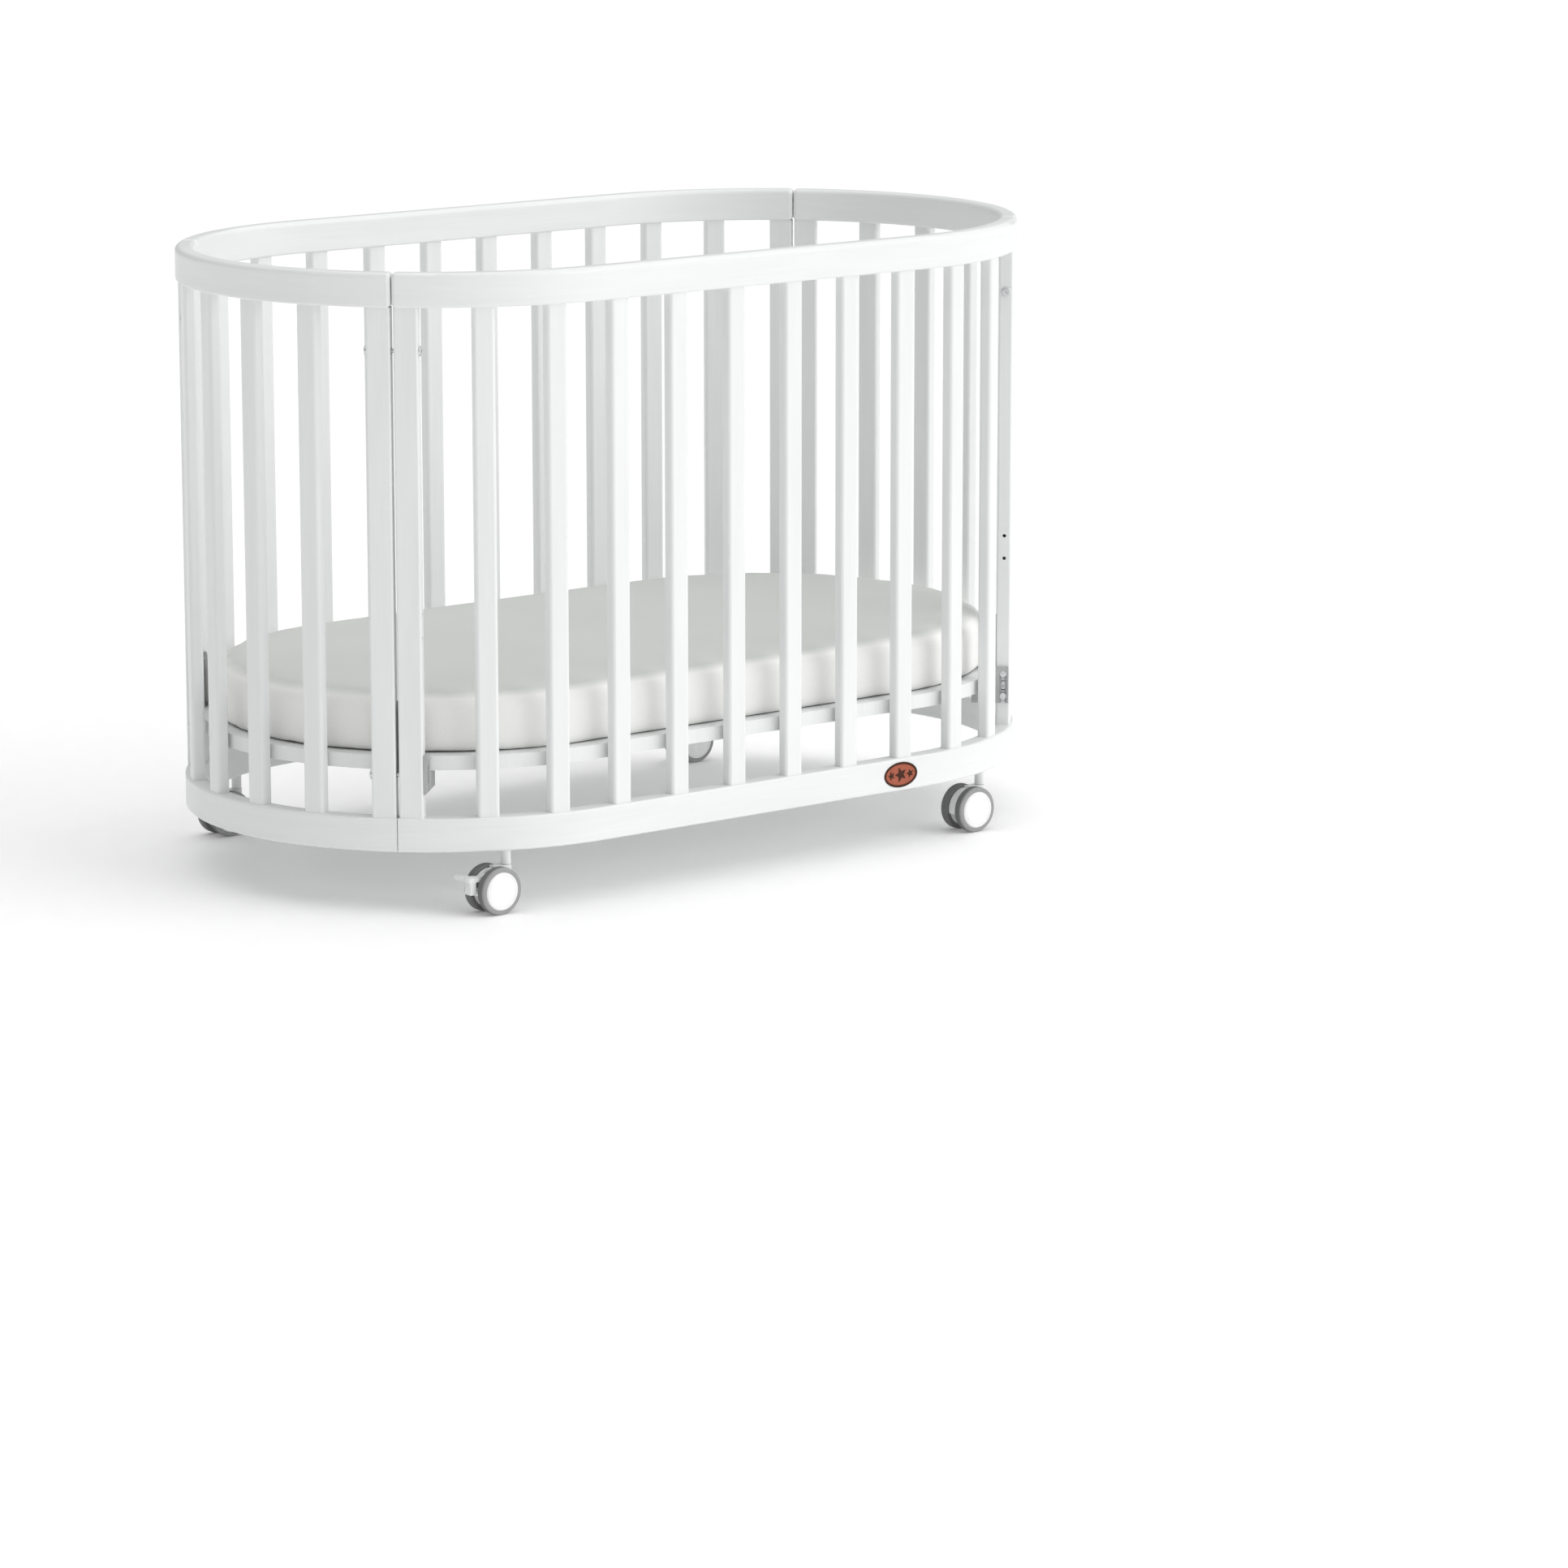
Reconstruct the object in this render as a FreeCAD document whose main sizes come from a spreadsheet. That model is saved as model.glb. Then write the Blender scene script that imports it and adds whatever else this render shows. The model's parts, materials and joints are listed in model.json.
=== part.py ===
"""Oval baby crib on casters: a parametric model, in millimetres.

The long axis is X and the short axis is Y. The floor is Z = 0 and the origin is under the crib's
middle. The crib is two long panels and two end panels, bolted together side by side at four
seams. Most pieces are made for the corner at +X +Y and mirrored to the other three.
"""
import FreeCAD, Part
import math
import os

import Sketcher
from FreeCAD import Placement, Rotation, Vector

X_AXIS = Vector(1, 0, 0)
Y_AXIS = Vector(0, 1, 0)
Z_AXIS = Vector(0, 0, 1)
UPRIGHT = Rotation()
ALONG_X = Rotation(Y_AXIS, 90)
ALONG_Y = Rotation(X_AXIS, -90)

# two directions whose product is over this are the same one
NEARLY_ONE = 0.999
# an edge within this distance of a face's plane lies on that face
EDGE_REACH = 1

# ---------------------------------------------------------------- driving dimensions
SIZES = {
    # the whole crib
    "overall_length": 1295,
    "overall_width": 727,
    "overall_height": 863,
    "floor_gap": 84.5,
    "end_panel_angle": 87.2,
    # rails
    "rail_thickness": 26,
    "rail_height": 46,
    "top_edge_radius": 7,
    "rail_edge_radius": 3,
    "rail_end_radius": 6,
    "panel_gap": 1,
    # slats and posts
    "slat_width": 30,
    "slat_thickness": 18,
    "slat_edge_radius": 5,
    "slats_per_side": 10,
    "slats_per_end": 4,
    "post_width": 33,
    "post_thickness": 20,
    "post_edge_radius": 3,
    "post_setback": 1.5,
    "tenon_width": 22,
    "tenon_thickness": 10,
    "tenon_length": 14,
    "tenon_clearance": 0.1,
    # the bolts that join the panels
    "bolt_inset": 58,
    "bolt_diameter": 6,
    "bolt_length": 58,
    "bolt_hole_clearance": 0.3,
    "bolt_head_diameter": 13.5,
    "bolt_head_height": 3.2,
    "bolt_head_rounding": 1.5,
    "hex_key": 4,
    "hex_depth": 2.2,
    "sleeve_diameter": 9,
    "sleeve_length": 30,
    "sink_depth": 4,
    "sink_clearance": 0.5,
    "dowel_diameter": 8,
    "dowel_length": 30,
    "dowel_end_gap": 0.5,
    # mattress base
    "base_height": 192,
    "base_thickness": 19.5,
    "base_post_gap": 3,
    "base_travel": 201,
    "rim_width": 45,
    "rebate_width": 15,
    "board_thickness": 8,
    "board_clearance": 0.3,
    "vent_length": 60,
    "vent_width": 14,
    "vent_pitch_x": 100,
    "vent_pitch_y": 60,
    "vents_along": 9,
    "vents_across": 7,
    "board_screw_diameter": 3.5,
    "board_screw_length": 10,
    "board_screw_head": 7,
    "board_screw_head_height": 1.8,
    # brackets that carry the base
    "bracket_thickness": 5.5,
    "bracket_height": 53,
    "bracket_drop": 29,
    "bracket_front": 8,
    "bracket_reach": 35,
    "bracket_tab_width": 36,
    "bracket_tab_thickness": 4,
    "bracket_chamfer": 3,
    "slide_clearance": 0.3,
    "peg_pitch": 32.7,
    "peg_diameter": 5,
    "peg_depth": 22,
    "peg_hole_clearance": 0.1,
    "peg_head_diameter": 9.5,
    "peg_head_height": 2.2,
    "peg_slot_clearance": 0.35,
    "peg_web": 2.4,
    "seat_screw_diameter": 4.5,
    "seat_screw_length": 15,
    "seat_screw_head": 9,
    "seat_screw_head_height": 2.5,
    # straps that stand on the base's edge beside the posts
    "strap_thickness": 2.4,
    "strap_width": 26,
    "strap_height": 103,
    "strap_below_base": 8,
    "strap_gap": 0.45,
    "strap_screw_diameter": 3.5,
    "strap_screw_length": 18,
    "strap_screw_head": 7,
    "strap_screw_head_height": 1.6,
    "strap_screw_spacing": 14,
    "pad_thickness": 5,
    "pad_width": 20,
    "pad_height": 62,
    "pad_lift": 1.5,
    # mattress
    "mattress_setback": 9,
    "mattress_thickness": 82.5,
    "mattress_lift": 0.3,
    "mattress_top_radius": 22,
    "mattress_bottom_radius": 8,
    # casters
    "caster_angle": 23,
    "wheel_diameter": 65,
    "wheel_width": 14,
    "tyre_depth": 6.5,
    "tyre_rounding": 3,
    "hub_rounding": 1.2,
    "hub_step": 0.6,
    "housing_width": 15,
    "housing_diameter": 57,
    "hood_drop": 6,
    "hub_boss_diameter": 20,
    "wheel_side_gap": 0.5,
    "caster_trail": 22,
    "axle_diameter": 6,
    "axle_seat": 10,
    "running_clearance": 0.05,
    "stem_pin_diameter": 8,
    "stem_pin_length": 19.5,
    "pin_end_gap": 1,
    "collar_diameter": 14,
    "collar_length": 20,
    "housing_gap": 0.5,
    "stud_diameter": 10,
    "stud_length": 19,
    "insert_diameter": 14,
    "insert_length": 20,
    # brake pedals
    "pedal_pivot_back": 12,
    "pedal_pivot_rise": 17.5,
    "pedal_eye_diameter": 10,
    "pedal_arm_width": 8,
    "pedal_arm_height": 6.5,
    "pedal_plate_depth": 16.5,
    "pedal_wing_depth": 12,
    "pedal_wing_reach": 22,
    "pedal_wing_inset": 0.5,
    "pedal_thickness": 6,
    "pedal_block_depth": 9,
    "pedal_block_drop": 20,
    "pedal_block_setback": 2,
    "pedal_rounding": 2,
    "pedal_side_clearance": 0.4,
    "pedal_slot_below": 12,
    "brake_pin_diameter": 3,
    # badge
    "badge_x": 239,
    "badge_length": 60,
    "badge_height": 36,
    "badge_thickness": 2.5,
    "badge_recess": 1.5,
    "badge_face_depth": 0.5,
    "badge_border": 2.5,
}

doc = FreeCAD.newDocument("crib")
sheet = doc.addObject("Spreadsheet::Sheet", "Sizes")
for row, (alias, number) in enumerate(SIZES.items(), start=1):
    sheet.set(f"A{row}", alias)
    sheet.set(f"B{row}", str(number))
    sheet.setAlias(f"B{row}", alias)
doc.recompute()


def size(alias):
    """The number in the sheet's cell of this name."""
    return float(sheet.get(alias))


def bind(thing, **expressions):
    """Tie properties of an object to sheet cells; a bare name in braces is a cell."""
    for name, text in expressions.items():
        thing.setExpression(name, text.replace("{", "Sizes.").replace("}", ""))


# ---------------------------------------------------------------- worked-out places
HALF_STRAIGHT = (size("overall_length") - size("overall_width")) / 2
CENTRE_RADIUS = (size("overall_width") - size("rail_thickness")) / 2
END_HALF_ANGLE = size("end_panel_angle") / 2
CORNER_ANGLE = 90 - END_HALF_ANGLE

LOW_RAIL_BOTTOM = size("floor_gap")
SLAT_BOTTOM = LOW_RAIL_BOTTOM + size("rail_height")
TOP_RAIL_BOTTOM = size("overall_height") - size("rail_height")
BASE_BOTTOM = size("base_height")
BASE_TOP = BASE_BOTTOM + size("base_thickness")
BOLT_HEIGHTS = (SLAT_BOTTOM + size("bolt_inset"), TOP_RAIL_BOTTOM - size("bolt_inset"))
BRACKET_BOTTOM = BASE_BOTTOM - size("bracket_drop")
BRACKET_MIDDLE = BRACKET_BOTTOM + size("bracket_height") / 2
PEG_HEIGHTS = (BRACKET_MIDDLE - size("peg_pitch") / 2, BRACKET_MIDDLE + size("peg_pitch") / 2)
SPARE_HEIGHTS = tuple(height + size("base_travel") for height in PEG_HEIGHTS)

SEAM_OFFSET = HALF_STRAIGHT + CENTRE_RADIUS * math.radians(CORNER_ANGLE)
END_OFFSET = CENTRE_RADIUS * math.radians(END_HALF_ANGLE)
POST_NEAR = size("panel_gap") / 2 + size("post_setback")
POST_FAR = POST_NEAR + size("post_width")
POST_MIDDLE = (POST_NEAR + POST_FAR) / 2
AXLE_HEIGHT = size("wheel_diameter") / 2
HOUSING_TOP = LOW_RAIL_BOTTOM - size("collar_length") - size("housing_gap")


def side_station(offset, height=0):
    """Placement on the rails' centre line, measured from the middle of the long side at +Y.

    Its X axis runs along the rail towards +X and its Y axis points out of the crib.
    """
    past = abs(offset) - HALF_STRAIGHT
    if past <= 0:
        return Placement(Vector(offset, CENTRE_RADIUS, height), UPRIGHT)
    turn = past / CENTRE_RADIUS
    x = HALF_STRAIGHT + CENTRE_RADIUS * math.sin(turn)
    y = CENTRE_RADIUS * math.cos(turn)
    way = math.copysign(1, offset)
    return Placement(Vector(way * x, y, height), Rotation(Z_AXIS, -way * math.degrees(turn)))


def end_station(offset, height=0):
    """Placement on the rails' centre line, measured from the middle of the end at +X.

    Its X axis runs along the rail towards +Y and its Y axis points into the crib.
    """
    turn = offset / CENTRE_RADIUS
    x = HALF_STRAIGHT + CENTRE_RADIUS * math.cos(turn)
    y = CENTRE_RADIUS * math.sin(turn)
    return Placement(Vector(x, y, height), Rotation(Z_AXIS, 90 + math.degrees(turn)))


def seam_station(along=0, out=0, height=0, turn=UPRIGHT):
    """Placement at the seam at +X +Y, moved along the rail, outwards and up."""
    return side_station(SEAM_OFFSET).multiply(Placement(Vector(along, out, height), turn))


def spread(half_run, count):
    """Centres of evenly spaced slats between two posts whose near faces are at half_run."""
    clear = (2 * half_run - count * size("slat_width")) / (count + 1)
    pitch = clear + size("slat_width")
    first = -half_run + clear + size("slat_width") / 2
    return [first + pitch * index for index in range(count)]


SIDE_SLATS = spread(SEAM_OFFSET - POST_FAR, int(size("slats_per_side")))
END_SLATS = spread(END_OFFSET - POST_FAR, int(size("slats_per_end")))


# ---------------------------------------------------------------- document helpers
def box(name, length, width, height, place=Placement()):
    """A box with one corner at its placement and sizes tied to the sheet."""
    made = doc.addObject("Part::Box", name)
    bind(made, Length=length, Width=width, Height=height)
    made.Placement = place
    return made


def cylinder(name, radius, height, place=Placement()):
    """A cylinder from its placement along its own Z axis."""
    made = doc.addObject("Part::Cylinder", name)
    bind(made, Radius=radius, Height=height)
    made.Placement = place
    return made


def group(name, parts):
    """Separate solids held as one compound."""
    made = doc.addObject("Part::Compound", name)
    made.Links = parts
    return made


def fuse(name, parts):
    """One solid from several."""
    made = doc.addObject("Part::MultiFuse", name)
    made.Shapes = parts
    return made


def cut(name, base, tools):
    """The base without the tools."""
    made = doc.addObject("Part::Cut", name)
    made.Base = base
    made.Tool = tools[0] if len(tools) == 1 else group(name + "_tools", tools)
    return made


def copy_at(name, source, place):
    """The same piece again at another placement."""
    made = doc.addObject("App::Link", name)
    made.LinkedObject = source
    made.Placement = place
    return made


def mirrored(name, source, normal):
    """The piece on the other side of the plane through the origin."""
    if source.TypeId == "App::Link":
        source = group(source.Name + "_placed", [source])
    made = doc.addObject("Part::Mirroring", name)
    made.Source = source
    made.Normal = normal
    return made


def rounded(name, base, radius, choose):
    """Fillet the edges of a Part object that the test picks."""
    doc.recompute()
    made = doc.addObject("Part::Fillet", name)
    made.Base = base
    picked = [i for i, edge in enumerate(base.Shape.Edges, start=1) if choose(edge)]
    made.Edges = [(index, size(radius), size(radius)) for index in picked]
    return made


def plane_of(body, role):
    """One of the body's own origin planes or axes."""
    return next(item for item in body.Origin.OriginFeatures if item.Role == role)


def sketch_on(body, name, role, lift=0, shift=0):
    """A sketch on an origin plane, lifted along its normal and shifted along its X."""
    made = body.newObject("Sketcher::SketchObject", name)
    made.AttachmentSupport = [(plane_of(body, role), "")]
    made.MapMode = "FlatFace"
    made.AttachmentOffset = Placement(Vector(shift, 0, lift), UPRIGHT)
    return made


def dimension(sketch, name, constraint, text):
    """Add a named constraint and tie it to the sheet."""
    index = sketch.addConstraint(constraint)
    sketch.renameConstraint(index, name)
    bind(sketch, **{"Constraints." + name: text})


def draw_rounded_box(sketch, left, bottom, width, height, low_radius, high_radius):
    """Draw a rectangle whose lower and upper corners have their own radii.

    left and bottom are numbers with the text that ties them; the others are texts alone.
    """
    (x0, x_text), (y0, y_text) = left, bottom
    wide = evaluate(width)
    tall = evaluate(height)
    low = evaluate(low_radius)
    high = evaluate(high_radius)
    x1 = x0 + wide
    y1 = y0 + tall
    line = Part.LineSegment
    bottom_side = sketch.addGeometry(line(Vector(x0 + low, y0, 0), Vector(x1 - low, y0, 0)))
    right_side = sketch.addGeometry(line(Vector(x1, y0 + low, 0), Vector(x1, y1 - high, 0)))
    top_side = sketch.addGeometry(line(Vector(x1 - high, y1, 0), Vector(x0 + high, y1, 0)))
    left_side = sketch.addGeometry(line(Vector(x0, y1 - high, 0), Vector(x0, y0 + low, 0)))
    sides = (bottom_side, right_side, top_side, left_side)
    corners = (
        (x1 - low, y0 + low, low, 270),
        (x1 - high, y1 - high, high, 0),
        (x0 + high, y1 - high, high, 90),
        (x0 + low, y0 + low, low, 180),
    )
    for number, (x, y, radius, start) in enumerate(corners):
        circle = Part.Circle(Vector(x, y, 0), Z_AXIS, radius)
        sweep = (math.radians(start), math.radians(start + 90))
        arc = sketch.addGeometry(Part.ArcOfCircle(circle, *sweep))
        before = sides[number]
        after = sides[(number + 1) % 4]
        sketch.addConstraint(Sketcher.Constraint("Tangent", before, 2, arc, 1))
        sketch.addConstraint(Sketcher.Constraint("Tangent", arc, 2, after, 1))
        text = low_radius if radius == low and number in (0, 3) else high_radius
        dimension(sketch, f"corner{number}", Sketcher.Constraint("Radius", arc, radius), text)
    for side in (bottom_side, top_side):
        sketch.addConstraint(Sketcher.Constraint("Horizontal", side))
    for side in (right_side, left_side):
        sketch.addConstraint(Sketcher.Constraint("Vertical", side))
    make = Sketcher.Constraint
    dimension(sketch, "wide", make("DistanceX", left_side, 1, right_side, 2, wide), width)
    dimension(sketch, "tall", make("DistanceY", bottom_side, 1, top_side, 1, tall), height)
    dimension(sketch, "place_x", make("DistanceX", -1, 1, left_side, 1, x0), x_text)
    dimension(sketch, "place_y", make("DistanceY", -1, 1, bottom_side, 1, y0), y_text)


def evaluate(text):
    """The value of a sheet expression such as {rail_height} / 2."""
    parts = text.replace("{", "\0").replace("}", "\0").split("\0")
    words = [str(size(word)) if number % 2 else word for number, word in enumerate(parts)]
    return float(FreeCAD.Units.Quantity("".join(words)).Value)


def draw_stadium(sketch, radius, straight):
    """Draw an oval of two straight sides and two half circles, centred on the origin."""
    reach = evaluate(radius)
    half = evaluate(straight) / 2
    line = Part.LineSegment
    high = sketch.addGeometry(line(Vector(half, reach, 0), Vector(-half, reach, 0)))
    low = sketch.addGeometry(line(Vector(-half, -reach, 0), Vector(half, -reach, 0)))
    ends = []
    for centre, start in ((-half, 90), (half, 270)):
        circle = Part.Circle(Vector(centre, 0, 0), Z_AXIS, reach)
        sweep = (math.radians(start), math.radians(start + 180))
        ends.append(sketch.addGeometry(Part.ArcOfCircle(circle, *sweep)))
    joins = ((high, 2, ends[0], 1), (ends[0], 2, low, 1), (low, 2, ends[1], 1), (ends[1], 2, high, 1))
    for join in joins:
        sketch.addConstraint(Sketcher.Constraint("Tangent", *join))
    sketch.addConstraint(Sketcher.Constraint("Horizontal", high))
    sketch.addConstraint(Sketcher.Constraint("Symmetric", ends[0], 3, ends[1], 3, -1, 1))
    dimension(sketch, "reach", Sketcher.Constraint("Radius", ends[1], reach), radius)
    dimension(sketch, "straight", Sketcher.Constraint("DistanceX", low, 1, low, 2, 2 * half), straight)


def new_body(name):
    """An empty body."""
    return doc.addObject("PartDesign::Body", name)


def pad(body, name, sketch, length, symmetric=False):
    """Pad a sketch by a length from the sheet."""
    made = body.newObject("PartDesign::Pad", name)
    made.Profile = sketch
    if symmetric:
        made.SideType = "Symmetric"
    bind(made, Length=length)
    return made


def fillet(body, name, radius, choose):
    """Fillet the edges of the body's tip that the test picks."""
    doc.recompute()
    base = body.Tip
    picked = [f"Edge{i}" for i, edge in enumerate(base.Shape.Edges, start=1) if choose(edge)]
    made = body.newObject("PartDesign::Fillet", name)
    made.Base = (base, picked)
    bind(made, Radius=radius)
    return made


NODES = {}


def keep(label, made):
    """Give a finished sub-part the name of its node."""
    made.Label = label
    NODES[label] = made
    return made


def keep_group(label, parts):
    """Keep several separate solids as one node."""
    return keep(label, group(label, parts))


def four_corners(name, source):
    """The piece at +X +Y and its three mirror images, in the order of CORNERS."""
    front = mirrored(name + "_at_front", source, Y_AXIS)
    left = mirrored(name + "_at_left", source, X_AXIS)
    front_left = mirrored(name + "_at_front_left", front, X_AXIS)
    return [source, left, front, front_left]


CORNERS = ("back_right", "back_left", "front_right", "front_left")

# ---------------------------------------------------------------- slats and posts
STRAIGHT = "{overall_length} - {overall_width}"
# the base is an oval that clears the posts' inner faces by a gap
BASE_RADIUS = "({overall_width} - {rail_thickness} - {post_thickness}) / 2 - {base_post_gap}"
INNER_FACE = "({overall_width} / 2 - {rail_thickness})"
SLAT_SPAN = "{overall_height} - {floor_gap} - 2 * {rail_height}"


def upright(name, width, thickness, radius):
    """A slat or a post on its own shoulder, with a tenon at each end."""
    body = new_body(name)
    section = sketch_on(body, name + "_section", "XY_Plane")
    left = (-size(width) / 2, f"-{{{width}}} / 2")
    near = (-size(thickness) / 2, f"-{{{thickness}}} / 2")
    sizes = (f"{{{width}}}", f"{{{thickness}}}", f"{{{radius}}}", f"{{{radius}}}")
    draw_rounded_box(section, left, near, *sizes)
    pad(body, name + "_shaft", section, SLAT_SPAN)
    tenon = sketch_on(body, name + "_tenon_section", "XY_Plane", lift=-size("tenon_length"))
    bind(tenon, **{"AttachmentOffset.Base.z": "-{tenon_length}"})
    left = (-size("tenon_width") / 2, "-{tenon_width} / 2")
    near = (-size("tenon_thickness") / 2, "-{tenon_thickness} / 2")
    corner = "{tenon_thickness} / 4"
    draw_rounded_box(tenon, left, near, "{tenon_width}", "{tenon_thickness}", corner, corner)
    pad(body, name + "_tenons", tenon, SLAT_SPAN + " + 2 * {tenon_length}")
    return body


slat = upright("slat_pattern", "slat_width", "slat_thickness", "slat_edge_radius")
post = upright("post_pattern", "post_width", "post_thickness", "post_edge_radius")

SIDE_SLAT_PLACES = [side_station(offset, SLAT_BOTTOM) for offset in SIDE_SLATS]
END_SLAT_PLACES = [end_station(offset, SLAT_BOTTOM) for offset in END_SLATS]
SEAM_TURN = seam_station().Rotation


def post_place(offset, station):
    """A post beside the seam: centred on the rail, but square to the seam."""
    return Placement(station(offset).Base + Z_AXIS * SLAT_BOTTOM, SEAM_TURN)


LONG_POST_PLACE = post_place(SEAM_OFFSET - POST_MIDDLE, side_station)
END_POST_PLACE = post_place(END_OFFSET - POST_MIDDLE, end_station)


def slat_row(label, places):
    """A panel's slats: separate solids, evenly spaced."""
    copies = [copy_at(f"{label}_{n}", slat, place) for n, place in enumerate(places, start=1)]
    return keep_group(label, copies)


slats_back = slat_row("slats_back", SIDE_SLAT_PLACES)
slats_right = slat_row("slats_right", END_SLAT_PLACES)
keep("slats_front", mirrored("slats_front", slats_back, Y_AXIS))
keep("slats_left", mirrored("slats_left", slats_right, X_AXIS))


def seam_bore(name, radius, start, length, height, out=0):
    """A round tool along the rail, from a distance before or after the seam."""
    place = seam_station(start, out, height, ALONG_X)
    return cylinder(name, radius, length, place)


BOLT_BORE = "{bolt_diameter} / 2 + {bolt_hole_clearance}"
SLEEVE_BORE = "{sleeve_diameter} / 2 + {bolt_hole_clearance}"
PEG_BORE = "{peg_diameter} / 2 + {peg_hole_clearance}"
POST_RUN = "{post_width} + 2 * {post_setback}"

long_post_tools = []
end_post_tools = []
for number, height in enumerate(BOLT_HEIGHTS, start=1):
    start = -POST_FAR - size("post_setback")
    hole = seam_bore(f"bolt_hole_{number}", BOLT_BORE, start, POST_RUN, height)
    long_post_tools.append(hole)
    start = POST_NEAR - size("post_setback")
    hole = seam_bore(f"sleeve_hole_{number}", SLEEVE_BORE, start, POST_RUN, height)
    end_post_tools.append(hole)
sink_radius = "{bolt_head_diameter} / 2 + {sink_clearance}"
sink = seam_bore("bolt_sink", sink_radius, -POST_FAR, "{sink_depth}", BOLT_HEIGHTS[0])
long_post_tools.append(sink)
for number, height in enumerate(PEG_HEIGHTS + SPARE_HEIGHTS, start=1):
    hole = seam_bore(f"peg_hole_{number}", PEG_BORE, -POST_FAR, "{peg_depth}", height)
    long_post_tools.append(hole)

long_post = cut("long_post", copy_at("long_post_blank", post, LONG_POST_PLACE), long_post_tools)
end_post = cut("end_post", copy_at("end_post_blank", post, END_POST_PLACE), end_post_tools)
for kind, source in (("side", long_post), ("end", end_post)):
    for corner, made in zip(CORNERS, four_corners(f"{kind}_post", source)):
        keep(f"post_{corner}_{kind}", made)

# ---------------------------------------------------------------- rails
# the turn, in degrees, by which a rail stops short of the seam
GAP_TURN = "{panel_gap} / ({overall_width} - {rail_thickness}) * 180 / pi"
SIDE_END_WAY = SEAM_TURN.multVec(X_AXIS)
END_END_WAY = Vector(-SIDE_END_WAY.x, -SIDE_END_WAY.y, 0)


def rail_profile(body, name, role, z_text, high_radius, lift=0, shift=0):
    """A rail's cross-section, standing out from the crib's middle by the rail's radius."""
    profile = sketch_on(body, name, role, lift, shift)
    left = (CENTRE_RADIUS - size("rail_thickness") / 2, INNER_FACE)
    bottom = (evaluate(z_text), z_text)
    sizes = ("{rail_thickness}", "{rail_height}", "{rail_edge_radius}", high_radius)
    draw_rounded_box(profile, left, bottom, *sizes)
    return profile


def round_ends(body, name, along):
    """Round the upper edges of a rail's two end faces, which makes the notch at each seam.

    along points out of one end face; the other end is its mirror image.
    """
    doc.recompute()
    shape = body.Tip.Shape
    middle = (shape.BoundBox.ZMin + shape.BoundBox.ZMax) / 2
    ways = (along, Vector(along.x, -along.y, 0))
    flat_faces = [face for face in shape.Faces if isinstance(face.Surface, Part.Plane)]
    ends = [face for face in flat_faces
            if any(abs(face.normalAt(0, 0).dot(way)) > NEARLY_ONE for way in ways)]

    def choose(edge):
        on_end = any(edge.isSame(other) for face in ends for other in face.Edges)
        return on_end and edge.BoundBox.ZMin > middle

    fillet(body, name + "_ends", "{rail_end_radius}", choose)


def side_rail(name, z_text, high_radius):
    """The long rail at +Y: a straight middle and two curved ends."""
    body = new_body(name + "_blank")
    profile = rail_profile(body, name + "_straight_section", "YZ_Plane", z_text, high_radius)
    middle = pad(body, name + "_straight", profile, f"({STRAIGHT}) / 2")
    bent = rail_profile(body, name + "_bend_section", "YZ_Plane", z_text, high_radius,
                        lift=HALF_STRAIGHT)
    bind(bent, **{"AttachmentOffset.Base.z": f"({STRAIGHT}) / 2"})
    doc.recompute()
    bend = body.newObject("PartDesign::Revolution", name + "_bend")
    bend.Profile = bent
    bend.ReferenceAxis = (bent, ["V_Axis"])
    bend.Reversed = True
    bind(bend, Angle=f"90 - {{end_panel_angle}} / 2 - {GAP_TURN}")
    doc.recompute()
    mirror = body.newObject("PartDesign::Mirrored", name + "_mirror")
    mirror.Originals = [middle, bend]
    mirror.MirrorPlane = (plane_of(body, "YZ_Plane"), [""])
    body.Tip = mirror
    return body


def end_rail(name, z_text, high_radius):
    """The curved rail at +X."""
    body = new_body(name + "_blank")
    profile = rail_profile(body, name + "_section", "XZ_Plane", z_text, high_radius,
                           shift=HALF_STRAIGHT)
    bind(profile, **{"AttachmentOffset.Base.x": f"({STRAIGHT}) / 2"})
    doc.recompute()
    bend = body.newObject("PartDesign::Revolution", name + "_bend")
    bend.Profile = profile
    bend.ReferenceAxis = (profile, ["V_Axis"])
    bend.Midplane = True
    bind(bend, Angle=f"{{end_panel_angle}} - 2 * {GAP_TURN}")
    doc.recompute()
    body.Tip = bend
    return body


mortise_depth = "{tenon_length} + 2 * {tenon_clearance}"


def mortises(name, places, z):
    """Pockets for a row of tenons."""
    grow = 2 * size("tenon_clearance")
    half = Vector(-(size("tenon_width") + grow) / 2, -(size("tenon_thickness") + grow) / 2, 0)
    tools = []
    for number, place in enumerate(places, start=1):
        base = Vector(place.Base.x, place.Base.y, z)
        at = Placement(base, place.Rotation).multiply(Placement(half, UPRIGHT))
        wide = "{tenon_width} + 2 * {tenon_clearance}"
        thick = "{tenon_thickness} + 2 * {tenon_clearance}"
        tools.append(box(f"{name}_{number}", wide, thick, mortise_depth, at))
    return tools


def mirror_place(place, normal):
    """The same upright placement on the other side of a plane through the origin."""
    flip = Vector(-1 if normal.x else 1, -1 if normal.y else 1, 1)
    base = Vector(place.Base.x * flip.x, place.Base.y * flip.y, place.Base.z)
    return Placement(base, place.Rotation.inverted())


side_places = SIDE_SLAT_PLACES + [LONG_POST_PLACE, mirror_place(LONG_POST_PLACE, X_AXIS)]
end_places = END_SLAT_PLACES + [END_POST_PLACE, mirror_place(END_POST_PLACE, Y_AXIS)]


def dowel_tools(name, along, height, mirror_normal):
    """Holes for the dowels in a rail's two ends."""
    depth = "{dowel_length} / 2 + {dowel_end_gap}"
    start = -size("dowel_length") / 2 - size("dowel_end_gap") if along < 0 else 0
    hole = seam_bore(name, "{dowel_diameter} / 2", start, depth, height)
    return [hole, mirrored(name + "_far", hole, mirror_normal)]


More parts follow.
